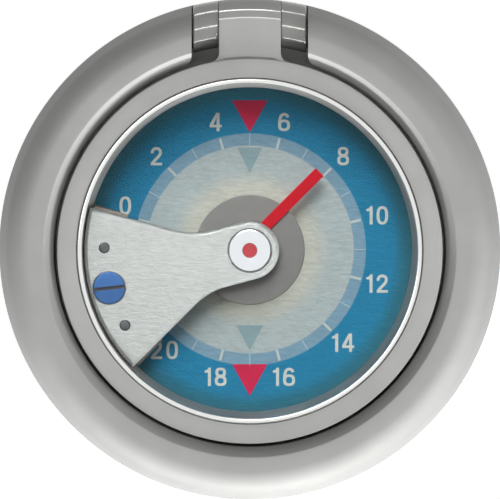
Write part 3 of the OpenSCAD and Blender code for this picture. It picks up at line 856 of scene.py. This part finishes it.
# Two round bars bent along the ring, their ends rounded
def makeBarrels(cfg):
    bend = cfg["edgeRound"]
    span = cfg["outX"] - cfg["inX"] - 2 * bend
    turns = [math.radians(30 * k) for k in range(4)]
    stations = []
    for a in reversed(turns):
        stations.append((cfg["inX"] + bend - bend * math.sin(a), bend * (1 - math.cos(a))))
    for k in range(1, cfg["steps"]):
        stations.append((cfg["inX"] + bend + span * k / cfg["steps"], 0))
    for a in turns:
        stations.append((cfg["outX"] - bend + bend * math.sin(a), bend * (1 - math.cos(a))))
    verts = []
    faces = []
    for side in (-1, 1):
        rings = []
        for x, inset in stations:
            rings.append(len(verts))
            for k in range(cfg["round"]):
                a = fullTurn * k / cfg["round"]
                r = cfg["centreR"] + (cfg["radius"] - inset) * math.cos(a)
                z = cfg["z"] + (cfg["radius"] - inset) * math.sin(a)
                verts.append((side * x, math.sqrt(r * r - x * x), z))
        for a, b in zip(rings, rings[1:]):
            faces += ringFaces(a, b, cfg["round"])
        for end in (rings[0], rings[-1]):
            faces.append(tuple(range(end, end + cfg["round"])))
    obj = newPiece("hingeBarrelPair", verts, faces, barrelSteel)
    carve(obj, [rodAlongX("barrelBore", -8, 8, ring["hingeY"], cfg["z"], cfg["boreR"])])
    return settle(obj, "capsule", "polished_metal", "hinge_barrels")


hingeBarrels = makeBarrels(barrel)
print("hinge barrels made")

bezel = {"inR": 20.02, "outR": 20.6, "lowZ": 9.8, "topZ": 10.75}


def makeBezel(cfg):
    half = (cfg["outR"] - cfg["inR"]) / 2
    middle = cfg["inR"] + half
    profile = [(cfg["inR"], cfg["lowZ"]), (cfg["outR"], cfg["lowZ"])]
    profile += arcPoints(middle, cfg["topZ"] - half, half, 0, 180, 14)
    obj = lathe("bezelBead", profile, bezelSteel)
    return settle(obj, "capsule", "bezel_metal", "bezel")


bezelBead = makeBezel(bezel)

glass = {"radius": 20.6, "lowZ": 8.6, "topZ": 9.8, "edge": 0.12}


def makeGlass(cfg):
    r, e = cfg["radius"], cfg["edge"]
    obj = lathe(
        "glassCover",
        [(0, cfg["lowZ"]), (r - e, cfg["lowZ"]), (r, cfg["lowZ"] + e),
         (r, cfg["topZ"] - e), (r - e, cfg["topZ"]), (0, cfg["topZ"])],
        glassMaterial, sharpAngle=20,
    )
    return settle(obj, "capsule", "glass", "crystal")


glassCover = makeGlass(glass)

flange = {"inR": 19.4, "outR": 20.45, "ledgeR": 20.1, "lowZ": 4.7, "topZ": 7.9}


def makeFlange(cfg):
    obj = lathe(
        "flangeSlope",
        roundCorners([
            (cfg["inR"], cfg["lowZ"], 0.02), (cfg["outR"], cfg["lowZ"], 0),
            (cfg["outR"], cfg["topZ"], 0), (cfg["ledgeR"], cfg["topZ"], 0.05),
        ]),
        flangeSteel,
    )
    return settle(obj, "capsule", "rehaut_metal", "rehaut")


flangeSlope = makeFlange(flange)
print("bezel, glass and flange made")

dial = {
    "radius": 20.4, "lowZ": 4.3, "topZ": 4.7, "holeR": 1.25, "inkZ": 4.72,
    "tickCount": 10, "wideTick": {"length": 1.32, "width": 0.3, "at": 13.1},
    "thinTick": {"length": 1.4, "width": 0.13, "at": 13.2},
    "numeralR": 15.8, "numeralHeight": 2.2, "numeralGap": 0.46,
    "unit": 15, "shift": {0: -4.4, 20: 4.6},
    "footAngle": 195, "footHalf": 31.2, "footIn": 15.1, "footOut": 19.3,
}


def sectorOutline(inR, outR, middle, half, steps=24):
    outer = arcPoints(0, 0, outR, middle - half, middle + half, steps)
    return outer + arcPoints(0, 0, inR, middle + half, middle - half, steps)


def makeDial(cfg):
    obj = lathe(
        "dialPlate",
        [(cfg["holeR"], cfg["lowZ"]), (cfg["radius"], cfg["lowZ"]),
         (cfg["radius"], cfg["topZ"]), (cfg["holeR"], cfg["topZ"])],
        dialBlue,
    )
    cut = sectorOutline(cfg["footIn"], cfg["footOut"], cfg["footAngle"], cfg["footHalf"])
    carve(obj, [prism("footCut", cut, cfg["lowZ"] - 1, cfg["topZ"] + 1)])
    return settle(obj, "capsule", "dial_enamel", "dial")


def printedTick(tick, cfg):
    outline = boxOutline(tick["length"] / 2, tick["width"] / 2)
    return prism("tick", outline, cfg["topZ"], cfg["inkZ"])


# Clock angle of a scale value: 5 stands at twelve o'clock and a unit is 15 degrees
def scaleAngle(cfg, value):
    return 90 - cfg["unit"] * (value - 5)


# Wide ticks at the even values, thin ones at the odd values
def makeTicks(cfg):
    ticks = []
    for name, tick, first, ink in (
        ("dialTicksWide", cfg["wideTick"], 0, inkTickWide),
        ("dialTicksThin", cfg["thinTick"], 1, inkTickThin),
    ):
        obj = roundTheAxis(
            name, printedTick(tick, cfg), cfg["tickCount"], tick["at"],
            scaleAngle(cfg, first), -2 * cfg["unit"], ink,
        )
        settle(obj, "capsule", "dial_enamel")
        ticks.append(obj)
    return ticks


# Condensed bold digits on a cell 1.45 wide and 2.2 high: bars are plain outlines, strokes
# are centre lines, bowls are (x, y, half width, half height) of a rounded loop's centre line
digitStroke = 0.35
digitShapes = {
    "0": {"width": 1.4, "bowls": [(0.7, 1.1, 0.52, 0.94)]},
    "1": {
        "width": 0.74,
        "bars": [[(0.38, 0), (0.74, 0), (0.74, 2.2), (0.46, 2.2), (0.34, 1.98), (0.2, 1.9),
                  (0.0, 1.86), (0.0, 1.6), (0.38, 1.6)]],
    },
    "2": {
        "width": 1.42,
        "bars": [[(0.04, 0), (1.38, 0), (1.38, 0.32), (0.04, 0.32)]],
        "strokes": [[(0.2, 1.44), (0.21, 1.62), (0.29, 1.83), (0.46, 1.98), (0.7, 2.03),
                     (0.97, 1.97), (1.14, 1.8), (1.2, 1.57), (1.15, 1.34), (1.0, 1.1),
                     (0.74, 0.82), (0.46, 0.54), (0.27, 0.3), (0.22, 0.12)]],
    },
    "4": {
        "width": 1.45,
        "bars": [[(0.84, 0), (1.19, 0), (1.19, 2.2), (0.84, 2.2)],
                 [(0.02, 0.46), (1.45, 0.46), (1.45, 0.77), (0.02, 0.77)],
                 [(0.02, 0.6), (0.38, 0.6), (1.1, 2.2), (0.8, 2.2), (0.02, 0.82)]],
    },
    "6": {
        "width": 1.46,
        "bowls": [(0.74, 0.7, 0.54, 0.54)],
        "strokes": [[(0.2, 0.72), (0.2, 1.1), (0.25, 1.5), (0.37, 1.82), (0.58, 2.0),
                     (0.84, 2.03), (1.08, 1.92), (1.22, 1.66)]],
    },
    "8": {"width": 1.42, "bowls": [(0.71, 1.62, 0.46, 0.42), (0.71, 0.63, 0.53, 0.47)]},
}


# Edges of a band of even width along a centre line, with square ends
def bandEdges(points, width):
    left = []
    right = []
    for i, point in enumerate(points):
        here = Vector(point)
        before = Vector(points[max(i - 1, 0)])
        after = Vector(points[min(i + 1, len(points) - 1)])
        along = (after - before).normalized()
        across = Vector((-along.y, along.x)) * width / 2
        left.append(tuple(here + across))
        right.append(tuple(here - across))
    return left, right


# A rounded loop of even stroke about (x, y)
def bowlSolid(x, y, halfWidth, halfHeight, low, top, steps=48):
    verts = []
    for grow in (-digitStroke / 2, digitStroke / 2):
        for z in (low, top):
            for k in range(steps):
                a = fullTurn * k / steps
                c, t = math.cos(a), math.sin(a)
                px = math.copysign(abs(c) ** 0.8, c) * (halfWidth + grow)
                py = math.copysign(abs(t) ** 0.8, t) * (halfHeight + grow * 0.9)
                verts.append((x + px, y + py, z))
    faces = []
    for a, b in ((0, 1), (2, 3), (0, 2), (1, 3)):
        faces += ringFaces(a * steps, b * steps, steps)
    return newPiece("bowl", verts, faces)


def digitSolid(text, cfg):
    shape = digitShapes[text]
    low, top = cfg["topZ"] - 0.01, cfg["inkZ"]
    outlines = list(shape.get("bars", []))
    for points in shape.get("strokes", []):
        left, right = bandEdges(points, digitStroke)
        outlines.append(left + right[::-1])
    parts = [prism("bar", outline, low, top) for outline in outlines]
    parts += [bowlSolid(*bowl, low, top) for bowl in shape.get("bowls", [])]
    if len(parts) > 1:
        carve(parts[0], parts[1:], "UNION")
    return parts[0]


def makeNumerals(cfg):
    digits = {text: digitSolid(text, cfg) for text in digitShapes}
    bm = bmesh.new()
    for value in range(0, 22, 2):
        angle = math.radians(scaleAngle(cfg, value) + cfg["shift"].get(value, 0))
        text = str(value)
        gap = cfg["numeralGap"]
        wide = sum(digitShapes[t]["width"] for t in text) + gap * (len(text) - 1)
        x = cfg["numeralR"] * math.cos(angle) - wide / 2
        y = cfg["numeralR"] * math.sin(angle) - cfg["numeralHeight"] / 2
        for t in text:
            start = len(bm.verts)
            bm.from_mesh(digits[t].data)
            bm.verts.ensure_lookup_table()
            for v in bm.verts[start:]:
                v.co.x += x * mm
                v.co.y += y * mm
            x += digitShapes[t]["width"] + gap
    mesh = bpy.data.meshes.new("dialNumerals")
    bm.to_mesh(mesh)
    bm.free()
    for solid in digits.values():
        bpy.data.objects.remove(solid)
    mesh.materials.clear()
    mesh.materials.append(inkCream)
    obj = bpy.data.objects.new("dialNumerals", mesh)
    bpy.context.scene.collection.objects.link(obj)
    tidyMesh(obj)
    return settle(obj, "capsule", "dial_enamel")


def printedTriangle(name, top, bottom, half, cfg, material):
    outline = [(-half, top), (0, bottom), (half, top)]
    return prism(name, outline, cfg["topZ"], cfg["inkZ"], material)


def makeMarks(cfg):
    marks = []
    for name, top, bottom, half, ink in (
        ("upperArrow", 17.85, 14.0, 2.12, inkRed), ("lowerArrow", -13.75, -17.55, 2.1, inkRed),
        ("upperShade", 12.2, 9.15, 1.5, inkBlue), ("lowerShade", -9.1, -12.1, 1.6, inkBlue),
    ):
        obj = printedTriangle(name, top, bottom, half, cfg, ink)
        settle(obj, "capsule", "dial_enamel")
        marks.append(obj)
    return marks


dialPlate = makeDial(dial)
dialTicks = makeTicks(dial)
dialNumerals = makeNumerals(dial)
dialMarks = makeMarks(dial)
print("dial, ticks and numerals made")

bridge = {
    "angle": 195, "hubR": 3.5, "filletR": 8.0, "half": 30, "reach": 19.76, "lowZ": 6.9,
    "topZ": 7.9, "bevel": 0.4, "settingHole": 2.68, "ledgeHole": 2.2, "settingZ": 7.15,
    "screwR": 17.4, "screwHole": 2.02, "screwSeatZ": 7.35, "pinHole": 0.66, "pinAngle": 16,
    "shankHole": 1.06, "bevelRound": 0.35, "cutLowZ": 6, "cutTopZ": 9,
}


# Plan of the bridge in its own frame, every edge moved in by inset
def bridgeOutline(cfg, inset):
    half = math.radians(cfg["half"])
    hub = cfg["hubR"] - inset
    fillet = cfg["filletR"] + inset
    cy = cfg["hubR"] + cfg["filletR"]
    cx = (cy * math.cos(half) - cfg["filletR"]) / math.sin(half)
    reach = cfg["reach"] - inset
    # the hub's far side, then the concave fillet between the arm and the fan's side
    upper = arcPoints(0, 0, hub, 180, 90, 16)
    upper += arcPoints(cx, cy, fillet, -90, cfg["half"] - 90, 16)
    along = math.sqrt(reach ** 2 - inset ** 2)
    corner = (
        along * math.cos(half) + inset * math.sin(half),
        along * math.sin(half) - inset * math.cos(half),
    )
    start = math.degrees(math.atan2(corner[1], corner[0]))
    # the outer edge from its corner to the middle; the lower half mirrors the upper
    upper += arcPoints(0, 0, reach, start, 0, 24)
    lower = [(x, -y) for x, y in reversed(upper[1:-1])]
    return turnPoints(upper + lower, cfg["angle"])


def spotAt(radius, degrees):
    a = math.radians(degrees)
    return (radius * math.cos(a), radius * math.sin(a))


def holeTool(name, radius, lowZ, topZ, centre, segments=64):
    return lathe(
        name, [(0, lowZ), (radius, lowZ), (radius, topZ), (0, topZ)], None, segments,
        centre=centre,
    )


def makeBridge(cfg):
    plain = bridgeOutline(cfg, 0)
    levels = [(cfg["lowZ"], plain), (cfg["topZ"] - cfg["bevel"], plain)]
    share = cfg["bevelRound"]
    for k in range(1, 5):  # the bevel, slightly rounded
        a = math.radians(22.5 * k)
        straight = cfg["bevel"] * k / 4 * (1 - share)
        inset = cfg["bevel"] * (1 - math.cos(a)) * share + straight
        rise = cfg["bevel"] * math.sin(a) * share + straight
        levels.append((cfg["topZ"] - cfg["bevel"] + rise, bridgeOutline(cfg, inset)))
    obj = stackOutlines("bridgePlate", levels, bridgeSilver, sharpAngle=25)
    screwAt = spotAt(cfg["screwR"], cfg["angle"])
    low, top = cfg["cutLowZ"], cfg["cutTopZ"]
    tools = [
        holeTool("settingHole", cfg["settingHole"], cfg["settingZ"], top, (0, 0), 96),
        holeTool("ledgeHole", cfg["ledgeHole"], low, top, (0, 0), 96),
        holeTool("headSeat", cfg["screwHole"], cfg["screwSeatZ"], top, screwAt, 96),
        holeTool("shankHole", cfg["shankHole"], low, top, screwAt),
    ]
    for side in (-1, 1):
        at = spotAt(cfg["screwR"], cfg["angle"] + side * cfg["pinAngle"])
        tools.append(holeTool("pinHole", cfg["pinHole"], low, top, at))
    carve(obj, tools, sharpAngle=25)
    return settle(obj, "capsule", "bridge_metal", "bridge")


bridgePlate = makeBridge(bridge)

bridgeScrew = {
    "headR": 1.9, "headLowZ": 7.35, "headTopZ": 8.05, "shankR": 1.0, "lowZ": 3.65,
    "slotWidth": 0.42, "slotZ": 7.7, "slotAngle": 6, "edge": 0.1,
}


def makeBridgeScrew(cfg, bridgeCfg):
    at = spotAt(bridgeCfg["screwR"], bridgeCfg["angle"])
    head = lathe(
        "bridgeScrewBody",
        roundCorners([
            (0, cfg["lowZ"], 0), (cfg["shankR"], cfg["lowZ"], 0.1),
            (cfg["shankR"], cfg["headLowZ"], 0), (cfg["headR"], cfg["headLowZ"], 0.05),
            (cfg["headR"], cfg["headTopZ"], cfg["edge"]), (0, cfg["headTopZ"], 0),
        ]),
        bluedSteel, 96, centre=at,
    )
    turn = math.radians(cfg["slotAngle"])
    slot = turnPoints(boxOutline(3, cfg["slotWidth"] / 2), cfg["slotAngle"])
    slot = [(at[0] + x, at[1] + y) for x, y in slot]
    carve(head, [prism("slotCut", slot, cfg["slotZ"], bridgeCfg["cutTopZ"])])
    head.data.materials.append(darkSteel)
    for face in head.data.polygons:  # the slot's floor and walls are coloured dark steel, darker than the blued head
        centre = face.center / mm
        if cfg["slotZ"] - 0.01 < centre.z < cfg["headTopZ"] - 0.02:
            offset = Vector((centre.x - at[0], centre.y - at[1]))
            across = -offset.x * math.sin(turn) + offset.y * math.cos(turn)
            if abs(across) < cfg["slotWidth"] / 2 + 0.01 and offset.length < cfg["headR"] - 0.02:
                face.material_index = 1
    return settle(head, "capsule", "blued_steel", "bridge_screw")


screwPiece = makeBridgeScrew(bridgeScrew, bridge)

pins = {"radius": 0.6, "lowZ": 3.65, "topZ": 7.9, "edge": 0.12}


def makeSteadyPins(cfg, bridgeCfg):
    pin = lathe(
        "steadyPin",
        roundCorners([
            (0, cfg["lowZ"], 0), (cfg["radius"], cfg["lowZ"], 0.08),
            (cfg["radius"], cfg["topZ"], cfg["edge"]), (0, cfg["topZ"], 0),
        ]),
        None, 48,
    )
    obj = roundTheAxis(
        "steadyPinPair", pin, 2, bridgeCfg["screwR"],
        bridgeCfg["angle"] - bridgeCfg["pinAngle"], 2 * bridgeCfg["pinAngle"], darkSteel,
    )
    return settle(obj, "capsule", "dark_steel", "steady_pins")


steadyPins = makeSteadyPins(pins, bridge)

setting = {"radius": 2.48, "holeR": 0.9, "lowZ": 7.15, "topZ": 8.0, "dishR": 1.5, "dishZ": 7.86}


def makeSetting(cfg):
    obj = lathe(
        "jewelSettingRing",
        roundCorners([
            (cfg["holeR"], cfg["lowZ"], 0), (cfg["radius"], cfg["lowZ"], 0),
            (cfg["radius"], cfg["topZ"], 0.12), (cfg["dishR"], cfg["topZ"], 0.1),
            (cfg["holeR"], cfg["dishZ"], 0),
        ]),
        settingSteel, 128,
    )
    return settle(obj, "capsule", "setting_metal", "jewel_setting")


settingRing = makeSetting(setting)
print("bridge, screw, pins and setting made")

cover = {
    "radius": 20.45, "lowZ": 1.6, "topZ": 2.8, "socketR": 0.9, "socketAt": 18.55,
    "socketDepth": 0.6, "socketCount": 6, "edge": 0.2,
}


def makeCover(cfg):
    obj = lathe(
        "backCoverPlate",
        roundCorners([
            (0, cfg["lowZ"], 0), (cfg["radius"], cfg["lowZ"], cfg["edge"]),
            (cfg["radius"], cfg["topZ"], 0.05), (0, cfg["topZ"], 0),
        ]),
        coverSteel,
    )
    deep = cfg["lowZ"] + cfg["socketDepth"]
    tool = lathe(
        "socket",
        [(0, cfg["lowZ"] - 0.2), (cfg["socketR"] + 0.3, cfg["lowZ"] - 0.2),
         (cfg["socketR"], cfg["lowZ"] + 0.1), (cfg["socketR"], deep), (0, deep + 0.15)],
        None, 48,
    )
    count = cfg["socketCount"]
    carve(obj, [
        roundTheAxis("sockets", tool, count, cfg["socketAt"], 0, 360 / count, coverSteel)
    ])
    return settle(obj, "capsule", "cover_metal", "back_cover")


backCover = makeCover(cover)
print("back cover made")

needle = {
    "discR": 6.57, "capZ": 6.0, "capTop": 6.3, "capEdge": 0.12, "staffHole": 0.45,
    "pointerZ": 6.3, "pointerTop": 6.5, "pointerReach": 12.5, "pointerWidth": 1.35,
    "rootR": 1.4, "angle": 45, "edge": 0.05,
}


def makeDiscCap(cfg):
    obj = lathe(
        "discCapPlate",
        roundCorners([
            (cfg["staffHole"], cfg["capZ"], 0), (cfg["discR"], cfg["capZ"], 0),
            (cfg["discR"], cfg["capTop"], cfg["capEdge"]),
            (cfg["staffHole"], cfg["capTop"], 0),
        ]),
        discGrey, 192,
    )
    return settle(obj, "needle", "disc_metal", "disc_cap")


# Plan of the pointer along +X, its blade on the left side of the radius
def pointerOutline(cfg, inset):
    root = cfg["rootR"] - inset
    low, high = inset, cfg["pointerWidth"] - inset
    first = math.degrees(math.asin(high / root))
    last = math.degrees(math.asin(low / root)) + 360
    outline = arcPoints(0, 0, root, first, last, 48)
    outline += [(cfg["pointerReach"] - inset, low), (cfg["pointerReach"] - inset, high)]
    return turnPoints(outline, cfg["angle"])


def makePointer(cfg):
    plain = pointerOutline(cfg, 0)
    obj = stackOutlines(
        "pointerHand",
        [(cfg["pointerZ"], plain), (cfg["pointerTop"] - cfg["edge"], plain),
         (cfg["pointerTop"], pointerOutline(cfg, cfg["edge"]))],
        lacquerRed,
    )
    carve(obj, [holeTool("staffHole", cfg["staffHole"], 6, 7, (0, 0), 48)])
    return settle(obj, "needle", "pointer_red", "pointer")


discCap = makeDiscCap(needle)
pointerHand = makePointer(needle)
print("needle pieces made")

kept = {
    "hinge_pin": pinSteel, "hinge_washers": washerPlastic, "crystal_gasket": rubberBlack,
    "main_plate": plateBrass, "back_gasket": rubberBlack, "bridge_foot": footSilver,
    "upper_jewel": rubyRed, "lower_jewel": rubyRed, "needle_staff": staffSteel,
    "needle_disc": discGrey, "needle_magnets": magnetNickel, "needle_collet": collarBrass,
}
for nodeName, finish in kept.items():
    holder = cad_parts[nodeName]
    if not holder.material_slots:
        holder.data.materials.append(finish)
    for materialSlot in holder.material_slots:
        materialSlot.material = finish
print("kept CAD nodes dressed:", len(kept))

stageLook = {
    "floorSize": 3.0, "floorColour": "#c4c4c4", "floorGlow": 0.92,
    "horizonLight": 0.1, "zenithLight": 0.24,
}
# Each lamp: clock azimuth, elevation, distance in metres, power in watts, width and height in
# metres, and which pieces it lights: the outside, the inside under the glass, or one piece
lamps = {
    "lowLamp": (178, 8, 0.9, 11.0, (0.85, 0.13), "outside"),
    "cornerLamp": (215, 20, 0.9, 1.6, (0.3, 0.2), "outside"),
    "sideLamp": (108, 28, 0.9, 3.2, (0.35, 0.25), "outside"),
    "frontLamp": (145, 36, 0.9, 1.5, (0.4, 0.25), "outside"),
    "backLamp": (350, 16, 0.9, 0.5, (0.5, 0.08), "outside"),
    "topLamp": (180, 88, 0.9, 1.0, (0.6, 0.08), "outside"),
    "bridgeLamp": (152, 38, 0.9, 3.4, (0.4, 0.3), "bridge"),
    "beadLamp": (318, 42, 0.9, 5.0, (1.2, 0.3), "bead"),
    "keyLamp": (350, 43, 0.8, 6.4, (0.55, 0.5), "inside"),
    "hingeStripFront": (180, 23, 0.9, 1.4, (0.8, 0.075), "hinge"),
    "hingeStripBack": (0, 19, 0.9, 1.0, (0.8, 0.075), "hinge"),
}


# White wherever the camera, a mirror or glass looks, plain and dimmer for diffuse light
def showsWhite(tree):
    rays = addNode(tree, "ShaderNodeLightPath").outputs
    seen = addMath(tree, "MAXIMUM", rays["Is Camera Ray"], rays["Is Glossy Ray"])
    return addMath(tree, "MAXIMUM", seen, rays["Is Transmission Ray"])


def makeWorld(cfg):
    world = bpy.data.worlds.new("studio")
    bpy.context.scene.world = world
    world.use_nodes = True
    tree = world.node_tree
    tree.nodes.clear()
    around = addNode(tree, "ShaderNodeTexCoord").outputs["Generated"]
    split = addNode(tree, "ShaderNodeSeparateXYZ", None, {0: around})
    sky = addNode(
        tree, "ShaderNodeMapRange",
        {"To Min": cfg["horizonLight"], "To Max": cfg["zenithLight"]},
        {"Value": split.outputs["Z"]},
    )
    level = addNode(
        tree, "ShaderNodeMapRange", {"To Max": 1.0},
        {"Value": showsWhite(tree), "To Min": sky.outputs[0]},
    )
    glow = addNode(
        tree, "ShaderNodeBackground", {"Color": (1, 1, 1, 1)}, {"Strength": level.outputs[0]}
    )
    addNode(tree, "ShaderNodeOutputWorld", None, {"Surface": glow.outputs[0]})


def makeFloor(cfg):
    half = cfg["floorSize"] / 2 / mm
    floor = newPiece(
        "studioFloor", [(-half, -half, 0), (half, -half, 0), (half, half, 0), (-half, half, 0)],
        [(0, 1, 2, 3)],
    )
    material, tree, shader, place = startMaterial(
        "paperFloor",
        {"Base Color": linearColour(cfg["floorColour"]), "Roughness": 0.9,
         "Specular IOR Level": 0.1},
    )
    glow = addNode(
        tree, "ShaderNodeEmission", {"Color": (1, 1, 1, 1)},
        {"Strength": addMath(tree, "MULTIPLY", showsWhite(tree), cfg["floorGlow"])},
    )
    both = addNode(
        tree, "ShaderNodeAddShader", None, {0: shader.outputs[0], 1: glow.outputs[0]}
    )
    tree.links.new(both.outputs[0], surfaceOf(tree))
    floor.data.materials.append(material)
    floor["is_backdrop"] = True


def pieceGroup(name, pieces):
    group = bpy.data.collections.new(name)
    for piece in pieces:
        group.objects.link(piece)
    return group


# Azimuth as on a clock face: 0 at twelve, 90 at three. The lamp lights its receivers, and
# only its blockers throw a shadow if there are any given
def makeLamp(name, azimuth, elevation, distance, power, size, receivers, blockers=None):
    lamp = bpy.data.lights.new(name, "AREA")
    lamp.shape = "RECTANGLE"
    lamp.size, lamp.size_y = size
    lamp.energy = power
    obj = bpy.data.objects.new(name, lamp)
    bpy.context.scene.collection.objects.link(obj)
    a, e = math.radians(azimuth), math.radians(elevation)
    towards = Vector((math.sin(a) * math.cos(e), math.cos(a) * math.cos(e), math.sin(e)))
    obj.location = towards * distance
    obj.rotation_euler = towards.to_track_quat("Z", "Y").to_euler()
    obj.light_linking.receiver_collection = pieceGroup(name + "Receivers", receivers)
    if blockers:
        obj.light_linking.blocker_collection = pieceGroup(name + "Blockers", blockers)
    return obj


makeWorld(stageLook)
makeFloor(stageLook)
outside = [ringBody, finderPlate, caseBody, hingeBarrels, backCover, flangeSlope, bridgePlate]
outside += [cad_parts["hinge_pin"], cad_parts["hinge_washers"]]
inside = [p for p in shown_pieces() if p not in outside and p != bezelBead]
litBy = {
    "outside": outside, "inside": inside, "bead": [bezelBead], "hinge": [hingeBarrels],
    "bridge": [bridgePlate],
}
# the wide disc leaves no hard shadow on the dial under it
wideDisc = [discCap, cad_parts["needle_disc"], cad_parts["needle_magnets"]]
shading = {"inside": [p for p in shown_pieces() if p not in wideDisc]}
for lampName, (azimuth, elevation, distance, power, size, group) in lamps.items():
    makeLamp(
        lampName, azimuth, elevation, distance, power, size, litBy[group], shading.get(group)
    )

# The photograph's camera, nearly straight above; centres and ringPixels are its pixels
view = {
    "distance": 1500.0, "tilt": 2.05, "sensor": 36.0, "width": 500, "ringPixels": 250.6,
    "centreX": 249.8, "centreY": 249.4, "centreZ": 4.7, "height": 499,
}


def makeCamera(cfg):
    camera = bpy.data.cameras.new("camera")
    camera.sensor_width = cfg["sensor"]
    pixel = ring["outerR"] / cfg["ringPixels"]
    camera.lens = cfg["sensor"] * cfg["distance"] / (cfg["width"] * pixel)
    camera.clip_start = 0.1
    camera.clip_end = 10
    obj = bpy.data.objects.new("camera", camera)
    bpy.context.scene.collection.objects.link(obj)
    tilt = math.radians(cfg["tilt"])
    back = Vector((0, math.sin(tilt), math.cos(tilt)))
    up = Vector((0, math.cos(tilt), -math.sin(tilt)))
    offX = (cfg["width"] / 2 - cfg["centreX"]) * pixel
    offY = (cfg["centreY"] - cfg["height"] / 2) * pixel
    target = Vector((offX, 0, cfg["centreZ"])) + up * offY
    obj.location = (target + back * cfg["distance"]) * mm
    side = up.cross(back)
    obj.rotation_euler = Matrix((side, up, back)).transposed().to_euler()
    bpy.context.scene.camera = obj


makeCamera(view)
bpy.context.scene.view_settings.view_transform = "Standard"
